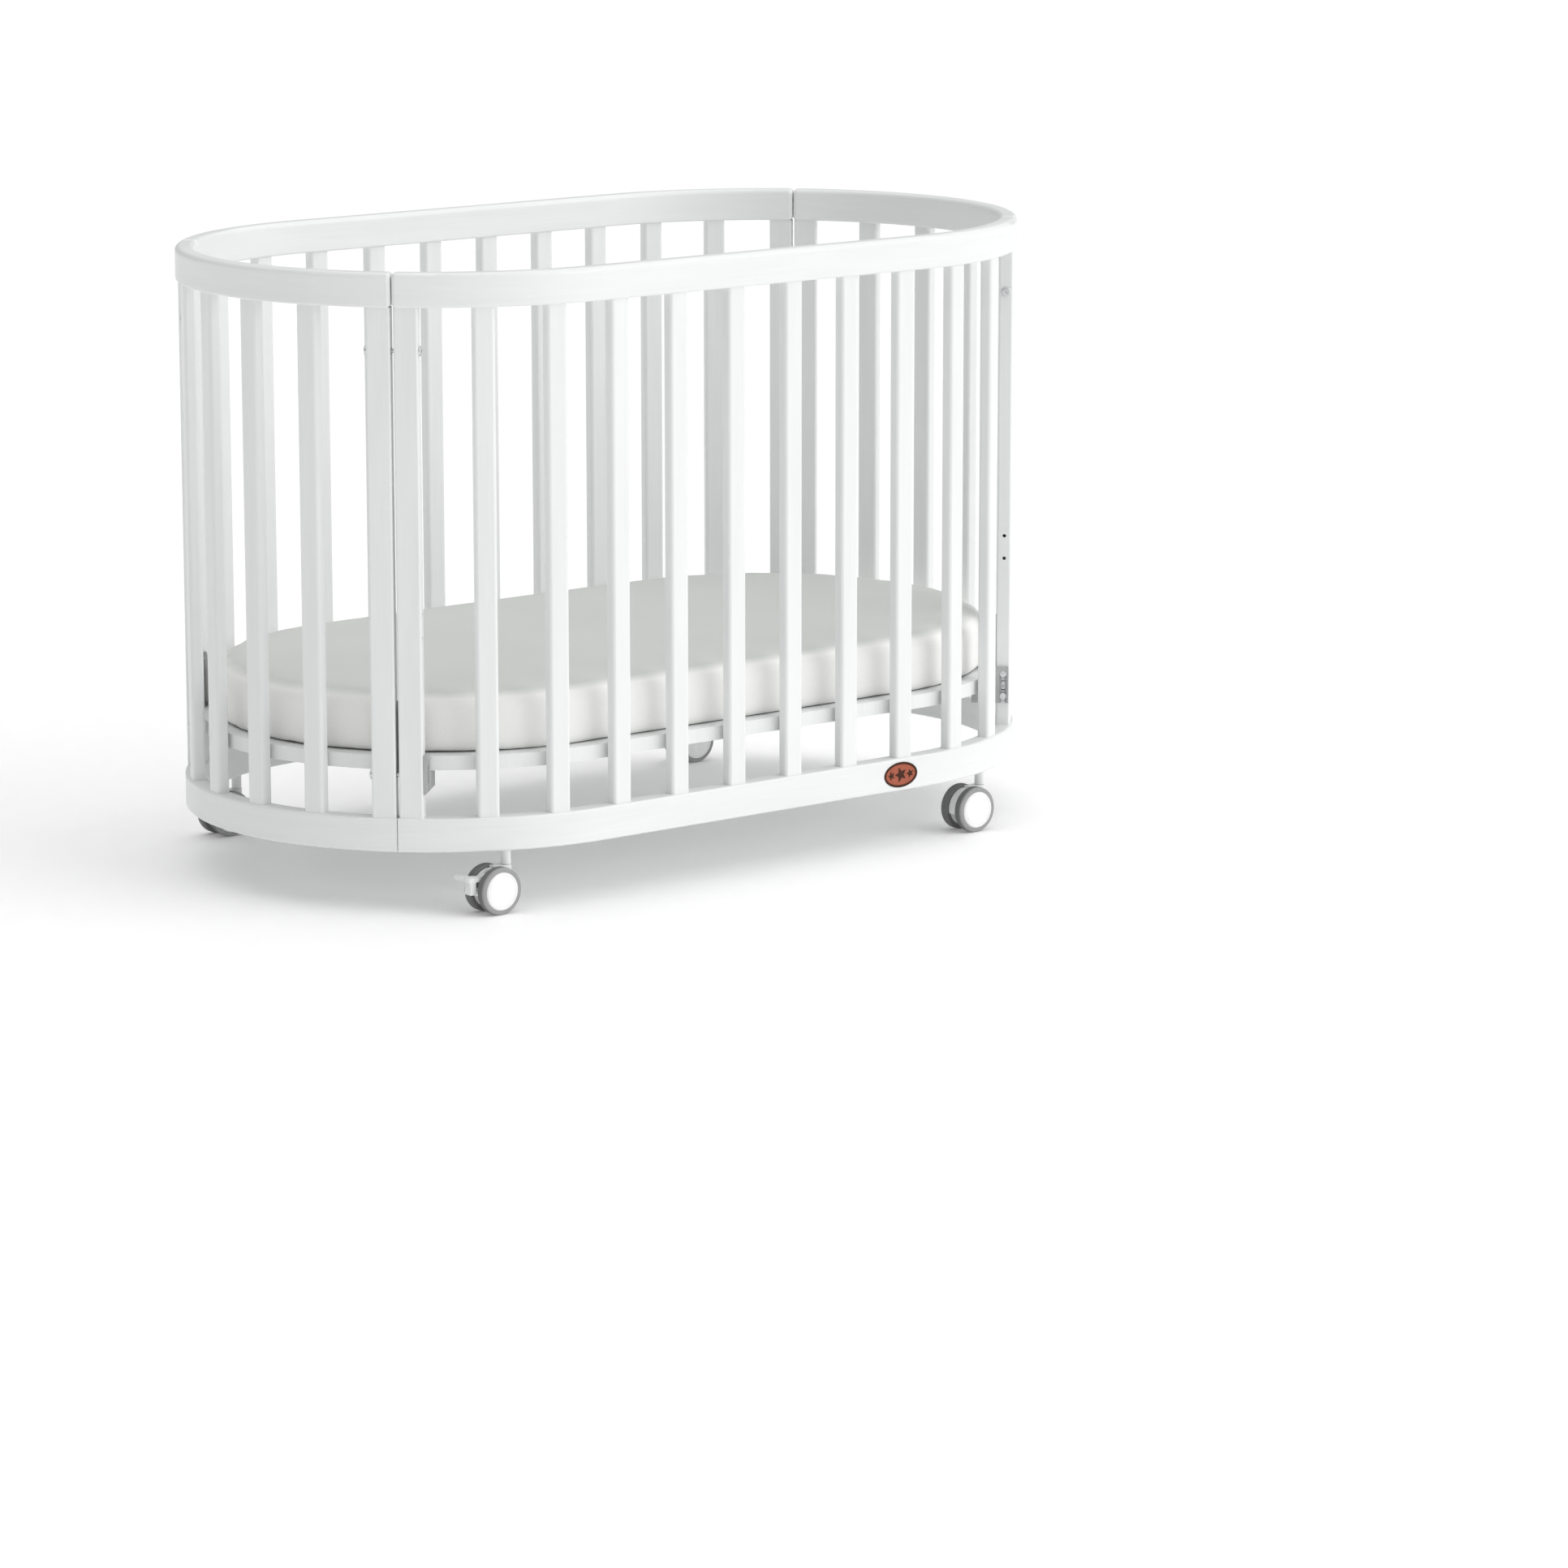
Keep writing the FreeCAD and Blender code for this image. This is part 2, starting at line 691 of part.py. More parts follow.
def caster_place(height):
    """The caster's upright axis at +X +Y."""
    offset = HALF_STRAIGHT + CENTRE_RADIUS * math.radians(size("caster_angle"))
    return Placement(side_station(offset, height).Base, UPRIGHT)


ROUND_TOP = "{top_edge_radius}"
SMALL_ROUND = "{rail_edge_radius}"
TOP_Z = "{overall_height} - {rail_height}"
LOW_Z = "{floor_gap}"
DEEP = size("tenon_length") + 2 * size("tenon_clearance")
for level, z_text, radius in (("top", TOP_Z, ROUND_TOP), ("bottom", LOW_Z, SMALL_ROUND)):
    is_top = level == "top"
    mortise_z = TOP_RAIL_BOTTOM if is_top else SLAT_BOTTOM - DEEP
    if is_top:
        dowel_z = size("overall_height") - (size("rail_height") - DEEP) / 2
    else:
        dowel_z = LOW_RAIL_BOTTOM + (size("rail_height") - DEEP) / 2
    side = side_rail(f"{level}_rail_back", z_text, radius)
    end = end_rail(f"{level}_rail_right", z_text, radius)
    if is_top:
        round_ends(side, "top_rail_back", SIDE_END_WAY)
        round_ends(end, "top_rail_right", END_END_WAY)
    tools = mortises(f"{level}_side_mortise", side_places, mortise_z)
    tools += dowel_tools(f"{level}_side_dowel_hole", -1, dowel_z, X_AXIS)
    if not is_top:
        spot = caster_place(LOW_RAIL_BOTTOM)
        for number, place in enumerate((spot, mirror_place(spot, X_AXIS)), start=1):
            tools.append(cylinder(f"insert_hole_{number}", "{insert_diameter} / 2",
                                  "{insert_length}", place))
    back = keep(f"{level}_rail_back", cut(f"{level}_rail_back", side, tools))
    front = mirrored(f"{level}_rail_front", back, Y_AXIS)
    if is_top:
        keep("top_rail_front", front)
    else:
        bottom_front = front
    tools = mortises(f"{level}_end_mortise", end_places, mortise_z)
    tools += dowel_tools(f"{level}_end_dowel_hole", 1, dowel_z, Y_AXIS)
    right = keep(f"{level}_rail_right", cut(f"{level}_rail_right", end, tools))
    keep(f"{level}_rail_left", mirrored(f"{level}_rail_left", right, X_AXIS))
    dowel = seam_bore(f"{level}_dowel", "{dowel_diameter} / 2", -size("dowel_length") / 2,
                      "{dowel_length}", dowel_z)
    keep_group(f"{level}_rail_dowels", four_corners(f"{level}_dowels", dowel))

# ---------------------------------------------------------------- badge and its recess
BADGE_MIDDLE = LOW_RAIL_BOTTOM + size("rail_height") / 2


def oval(name, length, height, depth, front_y):
    """An upright elliptical disc on the front rail, going in from front_y."""
    body = new_body(name)
    face = sketch_on(body, name + "_outline", "XZ_Plane")
    half_long = evaluate(length) / 2
    half_high = evaluate(height) / 2
    centre = Vector(size("badge_x"), BADGE_MIDDLE, 0)
    ellipse = Part.Ellipse(centre + Vector(half_long, 0, 0), centre + Vector(0, half_high, 0), centre)
    outline = face.addGeometry(ellipse)
    face.exposeInternalGeometry(outline)
    major, minor = outline + 1, outline + 2
    make = Sketcher.Constraint
    face.addConstraint(make("Horizontal", major))
    x_place = make("DistanceX", -1, 1, outline, 3, size("badge_x"))
    dimension(face, "place_x", x_place, "{badge_x}")
    z_place = make("DistanceY", -1, 1, outline, 3, BADGE_MIDDLE)
    dimension(face, "place_z", z_place, "{floor_gap} + {rail_height} / 2")
    dimension(face, "long", make("Distance", major, 1, major, 2, 2 * half_long), length)
    dimension(face, "high", make("Distance", minor, 1, minor, 2, 2 * half_high), height)
    disc = pad(body, name + "_disc", face, depth)
    disc.Reversed = True
    body.Placement = Placement(Vector(0, front_y, 0), UPRIGHT)
    return body


RAIL_FRONT = -size("overall_width") / 2
proud = size("badge_thickness") - size("badge_recess")
recess = oval("badge_recess", "{badge_length}", "{badge_height}", "{badge_recess} + {rail_edge_radius}",
              RAIL_FRONT - size("rail_edge_radius"))
keep("bottom_rail_front", cut("bottom_rail_front", bottom_front, [recess]))
badge_plate = oval("badge_plate", "{badge_length}", "{badge_height}", "{badge_thickness}",
                   RAIL_FRONT - proud)
badge_hollow = oval("badge_hollow", "{badge_length} - 2 * {badge_border}",
                    "{badge_height} - 2 * {badge_border}", "{badge_face_depth}", RAIL_FRONT - proud)
keep("badge", cut("badge", badge_plate, [badge_hollow]))


# ---------------------------------------------------------------- panel bolts and sleeve nuts
def hex_tool(name, place):
    """The hexagon socket of a head."""
    made = doc.addObject("Part::Prism", name)
    made.Polygon = 6
    bind(made, Circumradius="{hex_key} / sqrt(3)", Height="{hex_depth}")
    made.Placement = place
    return made


def screw(name, head, head_height, shank, shank_length, rounding=None, key=False):
    """A screw along its own Z axis: the head's seat is at zero and the shank goes up."""
    top = Placement(Vector(0, 0, -size(head_height)), UPRIGHT)
    cap = cylinder(name + "_head", f"{{{head}}} / 2", f"{{{head_height}}}", top)
    if rounding:
        cap = rounded(name + "_dome", cap, rounding,
                      lambda edge: edge.Closed and edge.BoundBox.ZMax < -size(head_height) / 2)
    rod = cylinder(name + "_shank", f"{{{shank}}} / 2", f"{{{shank_length}}}")
    made = fuse(name, [cap, rod])
    if key:
        made = cut(name + "_keyed", made, [hex_tool(name + "_key", top)])
    return made


bolt = screw("panel_bolt", "bolt_head_diameter", "bolt_head_height", "bolt_diameter",
             "bolt_length", "bolt_head_rounding", key=True)
sleeve_blank = screw("sleeve_blank", "bolt_head_diameter", "bolt_head_height", "sleeve_diameter",
                     "sleeve_length", "bolt_head_rounding", key=True)
sleeve_bore = cylinder("sleeve_bore", "{bolt_diameter} / 2", "{sleeve_length}")
sleeve = cut("sleeve_nut", sleeve_blank, [sleeve_bore])
bolts = []
sleeves = []
for number, height in enumerate(BOLT_HEIGHTS, start=1):
    sunk = size("sink_depth") if number == 1 else 0
    place = seam_station(-POST_FAR + sunk, 0, height, ALONG_X)
    bolts += four_corners(f"bolt_{number}", copy_at(f"bolt_{number}", bolt, place))
    place = seam_station(POST_FAR, 0, height, Rotation(Y_AXIS, -90))
    sleeves += four_corners(f"sleeve_{number}", copy_at(f"sleeve_{number}", sleeve, place))
keep_group("panel_bolts", bolts)
keep_group("panel_sleeve_nuts", sleeves)

# ---------------------------------------------------------------- mattress base
rim_body = new_body("rim_blank")
rim_outline = sketch_on(rim_body, "rim_outline", "XY_Plane", lift=BASE_BOTTOM)
bind(rim_outline, **{"AttachmentOffset.Base.z": "{base_height}"})
draw_stadium(rim_outline, BASE_RADIUS, STRAIGHT)
pad(rim_body, "rim_plate", rim_outline, "{base_thickness}")


def rim_pocket(name, radius, z, z_text, depth):
    """An oval pocket in the rim, down from the given height."""
    outline = sketch_on(rim_body, name + "_outline", "XY_Plane", lift=z)
    bind(outline, **{"AttachmentOffset.Base.z": z_text})
    draw_stadium(outline, radius, STRAIGHT)
    made = rim_body.newObject("PartDesign::Pocket", name)
    made.Profile = outline
    bind(made, Length=depth)


REBATE = BASE_RADIUS + " - {rebate_width}"
rim_pocket("rim_opening", BASE_RADIUS + " - {rim_width}", BASE_TOP,
           "{base_height} + {base_thickness}", "{base_thickness}")
rim_pocket("rim_rebate", REBATE, BASE_TOP, "{base_height} + {base_thickness}", "{board_thickness}")

POST_SAG = POST_MIDDLE ** 2 / 2 / CENTRE_RADIUS
STRAP_FRONT = -(size("post_thickness") / 2 + POST_SAG + size("strap_gap"))
STRAP_BACK = STRAP_FRONT - size("strap_thickness")
flat_place = seam_station(-size("strap_width") / 2, STRAP_BACK, BASE_BOTTOM)
flat = box("strap_seat", "{strap_width}", "{rim_width}", "{base_thickness}", flat_place)


def strap_screw_places():
    """Two screws through each strap into the rim's edge, pointing into the crib."""
    middle = BASE_BOTTOM + size("base_thickness") / 2
    seat = STRAP_FRONT - size("strap_screw_head_height")
    half = size("strap_screw_spacing") / 2
    return [seam_station(way * half, seat, middle, Rotation(X_AXIS, 90)) for way in (-1, 1)]


def seat_screw_place():
    """The screw that goes up through a bracket's tab into the rim."""
    along = -POST_FAR + size("bracket_tab_width") / 2
    out = STRAP_FRONT - (size("strap_thickness") + size("bracket_reach")) / 2
    return seam_station(along, out, BASE_BOTTOM - size("bracket_tab_thickness"))


def stem_tools(name, places, radius, length):
    """Round tools for a screw's shank."""
    return [cylinder(f"{name}_{n}", radius, length, place) for n, place in enumerate(places, start=1)]


strap_holes = stem_tools("strap_screw_hole", strap_screw_places(), "{strap_screw_diameter} / 2",
                         "{strap_screw_length}")
seat_holes = stem_tools("seat_screw_hole", [seat_screw_place()], "{seat_screw_diameter} / 2",
                        "{seat_screw_length}")
# the screws' places round each half-circle end, in degrees from the long axis
BOARD_SCREW_TURNS = (30, 60, 90)
board_screw_ring = evaluate(BASE_RADIUS) - (size("rebate_width") + size("rim_width")) / 2


def board_screw_places():
    """Screws round the board's edge, in one quarter of the oval."""
    seat = BASE_TOP - size("board_screw_head_height")
    places = []
    for turn in BOARD_SCREW_TURNS:
        x = HALF_STRAIGHT + board_screw_ring * math.cos(math.radians(turn))
        y = board_screw_ring * math.sin(math.radians(turn))
        places.append(Placement(Vector(x, y, seat), Rotation(X_AXIS, 180)))
    return places


board_holes = stem_tools("board_screw_hole", board_screw_places(), "{board_screw_diameter} / 2",
                         "{board_screw_length}")
corner_tools = []
for tool in [flat] + strap_holes + seat_holes + board_holes:
    corner_tools += four_corners(tool.Name, tool)
keep("base_rim", cut("base_rim", rim_body, corner_tools))

board_body = new_body("board_blank")
board_outline = sketch_on(board_body, "board_outline", "XY_Plane",
                          lift=BASE_TOP - size("board_thickness"))
BOARD_Z = "{base_height} + {base_thickness} - {board_thickness}"
bind(board_outline, **{"AttachmentOffset.Base.z": BOARD_Z})
draw_stadium(board_outline, REBATE + " - {board_clearance}", STRAIGHT)
pad(board_body, "board_plate", board_outline, "{board_thickness}")

vent_body = new_body("vent_pattern")
vent_outline = sketch_on(vent_body, "vent_outline", "XY_Plane")
draw_stadium(vent_outline, "{vent_width} / 2", "{vent_length} - {vent_width}")
pad(vent_body, "vent_slug", vent_outline, "{board_thickness}")
vents = []
columns = int(size("vents_along"))
rows = int(size("vents_across"))
for column in range(columns):
    for row in range(rows):
        x = (column - (columns - 1) / 2) * size("vent_pitch_x")
        y = (row - (rows - 1) / 2) * size("vent_pitch_y")
        at = Placement(Vector(x, y, BASE_TOP - size("board_thickness")), UPRIGHT)
        vents.append(copy_at(f"vent_{column}_{row}", vent_body, at))
board_head_holes = []
for number, place in enumerate(board_screw_places(), start=1):
    lift = Vector(place.Base.x, place.Base.y, BASE_TOP)
    head = cylinder(f"board_head_hole_{number}", "{board_screw_head} / 2", "{board_screw_head_height}",
                    Placement(lift, place.Rotation))
    shank = cylinder(f"board_shank_hole_{number}", "{board_screw_diameter} / 2", "{board_thickness}",
                     Placement(lift, place.Rotation))
    for hole in (head, shank):
        board_head_holes += four_corners(hole.Name, hole)
keep("base_board", cut("base_board", board_body, vents + board_head_holes))

board_screw = screw("board_screw", "board_screw_head", "board_screw_head_height",
                    "board_screw_diameter", "board_screw_length")
board_screws = []
for number, place in enumerate(board_screw_places(), start=1):
    board_screws += four_corners(f"board_screw_{number}", copy_at(f"board_screw_{number}", board_screw,
                                                                 place))
keep_group("board_screws", board_screws)

# ---------------------------------------------------------------- brackets under the base
BRACKET_FACE = -POST_FAR - size("slide_clearance")
PLATE_OUTER = BRACKET_FACE - size("bracket_thickness")
REACH_END = STRAP_FRONT - size("bracket_reach")
plate_depth = "{bracket_front} + {post_thickness} / 2 + {strap_gap}"
plate = box("bracket_plate", "{bracket_thickness}", plate_depth, "{bracket_height}",
            seam_station(PLATE_OUTER, STRAP_FRONT, BRACKET_BOTTOM))
web = box("bracket_web", "{bracket_thickness}", "{bracket_reach}", "{bracket_drop}",
          seam_station(PLATE_OUTER, REACH_END, BRACKET_BOTTOM))
tab = box("bracket_tab", "{bracket_tab_width}", "{bracket_reach} - {strap_thickness}",
          "{bracket_tab_thickness}",
          seam_station(PLATE_OUTER, REACH_END, BASE_BOTTOM - size("bracket_tab_thickness")))
bracket_blank = fuse("bracket_blank", [plate, web, tab])

PEG_SLOT = "({peg_diameter} / 2 + {peg_slot_clearance})"
HEAD_SLOT = "({peg_head_diameter} / 2 + {peg_slot_clearance})"
SLOT_RUN = "({bracket_height} + {peg_pitch}) / 2 + {bracket_chamfer}"
SLOTS = (
    ("peg_slot", PEG_SLOT, "{bracket_thickness}"),
    ("head_slot", HEAD_SLOT, "{bracket_thickness} - {peg_web}"),
)
slot_bottom = BRACKET_BOTTOM - size("bracket_chamfer")
slot_top_place = seam_station(PLATE_OUTER, 0, PEG_HEIGHTS[1], ALONG_X)
bracket_tools = [seat_holes[0]]
for name, half, depth in SLOTS:
    corner = seam_station(PLATE_OUTER, -evaluate(half), slot_bottom)
    bracket_tools.append(box(name, depth, "2 * " + half, SLOT_RUN, corner))
    bracket_tools.append(cylinder(name + "_end", half, depth, slot_top_place))
wedge = box("bracket_bevel", "{bracket_chamfer} * sqrt(2)", "{bracket_reach} + 2 * {post_thickness}",
            "{bracket_chamfer} * sqrt(2)",
            seam_station(PLATE_OUTER - size("bracket_chamfer"), REACH_END, BRACKET_BOTTOM,
                         Rotation(Y_AXIS, 45)))
bracket_tools.append(wedge)
bracket = cut("bracket", bracket_blank, bracket_tools)
for corner, made in zip(CORNERS, four_corners("bracket", bracket)):
    keep(f"bracket_{corner}", made)

peg = screw("bracket_peg", "peg_head_diameter", "peg_head_height", "peg_diameter",
            "peg_depth")
pegs = []
PEG_SEAT = -POST_FAR - size("slide_clearance") - size("peg_web") - size("peg_slot_clearance") / 2
for number, height in enumerate(PEG_HEIGHTS, start=1):
    place = seam_station(PEG_SEAT, 0, height, ALONG_X)
    pegs += four_corners(f"peg_{number}", copy_at(f"peg_{number}", peg, place))
keep_group("bracket_pegs", pegs)

seat_screw = screw("seat_screw", "seat_screw_head", "seat_screw_head_height", "seat_screw_diameter",
                   "seat_screw_length")
seat = copy_at("seat_screw_1", seat_screw, seat_screw_place())
keep_group("bracket_seat_screws", four_corners("seat_screws", seat))

# ---------------------------------------------------------------- straps and their pads
def pill(name, width, height, depth, place):
    """A flat bar with round ends, standing up and going inwards from its placement."""
    body = new_body(name)
    outline = sketch_on(body, name + "_outline", "XY_Plane")
    draw_stadium(outline, f"{{{width}}} / 2", f"{{{height}}} - {{{width}}}")
    pad(body, name + "_bar", outline, f"{{{depth}}}")
    lift = Placement(Vector(0, 0, size(height) / 2), Rotation(X_AXIS, 90))
    stand = lift.multiply(Placement(Vector(), Rotation(Z_AXIS, 90)))
    return copy_at(name + "_stood", body, place.multiply(stand))


strap_blank = pill("strap_blank", "strap_width", "strap_height", "strap_thickness",
                   seam_station(0, STRAP_FRONT, BASE_BOTTOM - size("strap_below_base")))
strap_head_holes = [
    cylinder(f"strap_head_hole_{n}", "{strap_screw_head} / 2", "{strap_screw_head_height}",
             place.multiply(Placement(Vector(0, 0, -size("strap_screw_head_height")), UPRIGHT)))
    for n, place in enumerate(strap_screw_places(), start=1)]
strap = cut("strap", strap_blank, strap_holes + strap_head_holes)
keep_group("base_straps", four_corners("straps", strap))
pad_piece = pill("strap_pad", "pad_width", "pad_height", "pad_thickness",
                 seam_station(0, STRAP_BACK, BASE_TOP + size("pad_lift")))
keep_group("strap_pads", four_corners("strap_pads", pad_piece))
strap_screw = screw("strap_screw", "strap_screw_head", "strap_screw_head_height",
                    "strap_screw_diameter", "strap_screw_length")
strap_screws = []
for number, place in enumerate(strap_screw_places(), start=1):
    strap_screws += four_corners(f"strap_screw_{number}", copy_at(f"strap_screw_{number}", strap_screw,
                                                                 place))
keep_group("strap_screws", strap_screws)

# ---------------------------------------------------------------- mattress
MATTRESS_BOTTOM = BASE_TOP + size("mattress_lift")
MATTRESS_Z = "{base_height} + {base_thickness} + {mattress_lift}"
mattress = new_body("mattress_body")
mattress_outline = sketch_on(mattress, "mattress_outline", "XY_Plane", lift=MATTRESS_BOTTOM)
bind(mattress_outline, **{"AttachmentOffset.Base.z": MATTRESS_Z})
draw_stadium(mattress_outline, BASE_RADIUS + " - {mattress_setback}", STRAIGHT)
pad(mattress, "mattress_block", mattress_outline, "{mattress_thickness}")
MATTRESS_TOP = MATTRESS_BOTTOM + size("mattress_thickness")
fillet(mattress, "mattress_top", "{mattress_top_radius}",
       lambda edge: edge.BoundBox.ZMin > MATTRESS_TOP - EDGE_REACH)
fillet(mattress, "mattress_bottom", "{mattress_bottom_radius}",
       lambda edge: edge.BoundBox.ZMax < MATTRESS_BOTTOM + EDGE_REACH)
keep("mattress", mattress)


# ---------------------------------------------------------------- casters
def at_caster(x, y, z, turn=UPRIGHT):
    """Placement measured from a caster's upright axis, at the origin of the pattern."""
    return Placement(Vector(x, y, z), turn)


TRAIL = -size("caster_trail")
HALF_HOUSING = size("housing_width") / 2
WHEEL_INSIDE = HALF_HOUSING + size("wheel_side_gap")

stud = cylinder("stem_stud", "{stud_diameter} / 2", "{stud_length}", at_caster(0, 0, LOW_RAIL_BOTTOM))
collar = cylinder("stem_collar", "{collar_diameter} / 2", "{collar_length}",
                  at_caster(0, 0, LOW_RAIL_BOTTOM - size("collar_length")))
stem_pin = cylinder("stem_pin", "{stem_pin_diameter} / 2", "{stem_pin_length}",
                    at_caster(0, 0, LOW_RAIL_BOTTOM - size("collar_length") - size("stem_pin_length")))
stem = fuse("caster_stem", [stud, collar, stem_pin])
insert_blank = cylinder("insert_blank", "{insert_diameter} / 2", "{insert_length}",
                        at_caster(0, 0, LOW_RAIL_BOTTOM))
insert_bore = cylinder("insert_bore", "{stud_diameter} / 2", "{insert_length}",
                       at_caster(0, 0, LOW_RAIL_BOTTOM))
insert = cut("caster_insert", insert_blank, [insert_bore])

disc_body = new_body("housing_disc")
disc_sketch = sketch_on(disc_body, "housing_disc_outline", "XZ_Plane")
disc_round = disc_sketch.addGeometry(Part.Circle(Vector(TRAIL, AXLE_HEIGHT, 0), Z_AXIS,
                                                 size("housing_diameter") / 2))
make = Sketcher.Constraint
dimension(disc_sketch, "place_x", make("DistanceX", -1, 1, disc_round, 3, TRAIL), "-{caster_trail}")
dimension(disc_sketch, "place_z", make("DistanceY", -1, 1, disc_round, 3, AXLE_HEIGHT),
          "{wheel_diameter} / 2")
dimension(disc_sketch, "round", make("Radius", disc_round, size("housing_diameter") / 2),
          "{housing_diameter} / 2")
pad(disc_body, "housing_disc_pad", disc_sketch, "{housing_width}", symmetric=True)

boss_height = "{floor_gap} - {collar_length} - {housing_gap} - {wheel_diameter} / 2"
boss = cylinder("housing_boss", "{housing_width} / 2", boss_height, at_caster(0, 0, AXLE_HEIGHT))
hood_open = box("hood_open", "{wheel_diameter}", "{housing_width}", "{wheel_diameter}",
                at_caster(TRAIL - AXLE_HEIGHT, -HALF_HOUSING,
                          AXLE_HEIGHT - size("hood_drop") - size("wheel_diameter")))
hood = cut("housing_hood", disc_body, [hood_open])
hub_boss = cylinder("housing_hub_boss", "{hub_boss_diameter} / 2", "{housing_width}",
                    at_caster(TRAIL, -HALF_HOUSING, AXLE_HEIGHT, ALONG_Y))
cheek = box("housing_cheek", "{caster_trail}", "{housing_width}", boss_height,
            at_caster(TRAIL, -HALF_HOUSING, AXLE_HEIGHT))
housing_blank = fuse("housing_blank", [hood, hub_boss, boss, cheek])
axle_bore = cylinder("axle_bore", "{axle_diameter} / 2 + {running_clearance}", "{housing_width}",
                     at_caster(TRAIL, -HALF_HOUSING, AXLE_HEIGHT, ALONG_Y))
PIN_BORE_DEPTH = size("stem_pin_length") - size("housing_gap") + size("pin_end_gap")
pin_bore = cylinder("stem_bore", "{stem_pin_diameter} / 2 + {running_clearance}",
                    "{stem_pin_length} - {housing_gap} + {pin_end_gap}",
                    at_caster(0, 0, HOUSING_TOP - PIN_BORE_DEPTH))
housing = cut("housing", housing_blank, [axle_bore, pin_bore])

PIVOT_X = TRAIL - size("pedal_pivot_back")
PIVOT_Z = AXLE_HEIGHT + size("pedal_pivot_rise")
EYE = size("pedal_eye_diameter") / 2
slot_width = "{pedal_arm_width} + 2 * {pedal_side_clearance}"
slot_right = PIVOT_X + EYE + size("pedal_side_clearance")
pedal_slot = box("pedal_slot", "{wheel_diameter}", slot_width, "{wheel_diameter}",
                 at_caster(slot_right - size("wheel_diameter"),
                           -size("pedal_arm_width") / 2 - size("pedal_side_clearance"),
                           PIVOT_Z - size("pedal_slot_below")))
brake_pin_bore = cylinder("brake_pin_bore", "{brake_pin_diameter} / 2", "{housing_width}",
                          at_caster(PIVOT_X, -HALF_HOUSING, PIVOT_Z, ALONG_Y))
braked_housing = cut("braked_housing", housing, [pedal_slot, brake_pin_bore])

eye = cylinder("pedal_eye", "{pedal_eye_diameter} / 2", "{pedal_arm_width}",
               at_caster(PIVOT_X, -size("pedal_arm_width") / 2, PIVOT_Z, ALONG_Y))
PEDAL_INNER = TRAIL - size("wheel_diameter") / 2 + size("pedal_wing_inset")
PEDAL_OUTER = PEDAL_INNER - size("pedal_wing_depth")
PEDAL_UNDER = PIVOT_Z - size("pedal_thickness") / 2
block_x = PEDAL_OUTER + size("pedal_block_setback")
arm_length = ("{wheel_diameter} / 2 - {pedal_wing_inset} + {pedal_wing_depth}"
              " - {pedal_block_setback} - {pedal_pivot_back}")
arm = box("pedal_arm", arm_length, "{pedal_arm_width}", "{pedal_arm_height}",
          at_caster(block_x, -size("pedal_arm_width") / 2, PIVOT_Z - size("pedal_arm_height") / 2))
plate = box("pedal_plate", "{pedal_plate_depth}", "{housing_width}", "{pedal_thickness}",
            at_caster(PEDAL_OUTER, -HALF_HOUSING, PEDAL_UNDER))
wing = box("pedal_wing", "{pedal_wing_depth}", "{housing_width} + {pedal_wing_reach}",
           "{pedal_thickness}", at_caster(PEDAL_OUTER, -HALF_HOUSING, PEDAL_UNDER))
block = box("pedal_block", "{pedal_block_depth}", "{housing_width}",
            "{pedal_block_drop} + {pedal_thickness} / 2",
            at_caster(block_x, -HALF_HOUSING, PIVOT_Z - size("pedal_block_drop")))
paddle_blank = fuse("pedal_paddle", [plate, wing, block])


def is_outer_corner(edge):
    """An upright edge of the paddle that a hand can reach."""
    bounds = edge.BoundBox
    upright_edge = bounds.XLength < EDGE_REACH and bounds.YLength < EDGE_REACH
    return upright_edge and bounds.XMax < block_x + EDGE_REACH


paddle = rounded("pedal_paddle_rounded", paddle_blank, "pedal_rounding", is_outer_corner)
pedal_blank = fuse("pedal_blank", [eye, arm, paddle])
pedal_bore = cylinder("pedal_bore", "{brake_pin_diameter} / 2 + {running_clearance}",
                      "{pedal_arm_width}",
                      at_caster(PIVOT_X, -size("pedal_arm_width") / 2, PIVOT_Z, ALONG_Y))
pedal = cut("pedal", pedal_blank, [pedal_bore])
brake_pin_rod = cylinder("brake_pin_rod", "{brake_pin_diameter} / 2", "{housing_width}",
                         at_caster(PIVOT_X, -HALF_HOUSING, PIVOT_Z, ALONG_Y))
brake_pin = group("brake_pin", [brake_pin_rod])

tyre_outer = cylinder("tyre_outer", "{wheel_diameter} / 2", "{wheel_width}",
                      at_caster(TRAIL, WHEEL_INSIDE, AXLE_HEIGHT, ALONG_Y))
tyre_soft = rounded("tyre_rounded", tyre_outer, "tyre_rounding", lambda edge: edge.Closed)
tyre_hole = cylinder("tyre_hole", "{wheel_diameter} / 2 - {tyre_depth}", "{wheel_width}",
                     at_caster(TRAIL, WHEEL_INSIDE, AXLE_HEIGHT, ALONG_Y))
tyre = cut("tyre", tyre_soft, [tyre_hole])
hub_blank = cylinder("hub_blank", "{wheel_diameter} / 2 - {tyre_depth}", "{wheel_width} + {hub_step}",
                     at_caster(TRAIL, WHEEL_INSIDE, AXLE_HEIGHT, ALONG_Y))
hub_soft = rounded("hub_rounded", hub_blank, "hub_rounding",
                   lambda edge: edge.Closed and edge.BoundBox.YMin > WHEEL_INSIDE + EDGE_REACH)
hub_bore = cylinder("hub_bore", "{axle_diameter} / 2", "{axle_seat}",
                    at_caster(TRAIL, WHEEL_INSIDE, AXLE_HEIGHT, ALONG_Y))
hub = cut("hub", hub_soft, [hub_bore])
axle_rod = cylinder("axle_rod", "{axle_diameter} / 2",
                    "{housing_width} + 2 * {wheel_side_gap} + 2 * {axle_seat}",
                    at_caster(TRAIL, -WHEEL_INSIDE - size("axle_seat"), AXLE_HEIGHT, ALONG_Y))
axle = group("axle", [axle_rod])
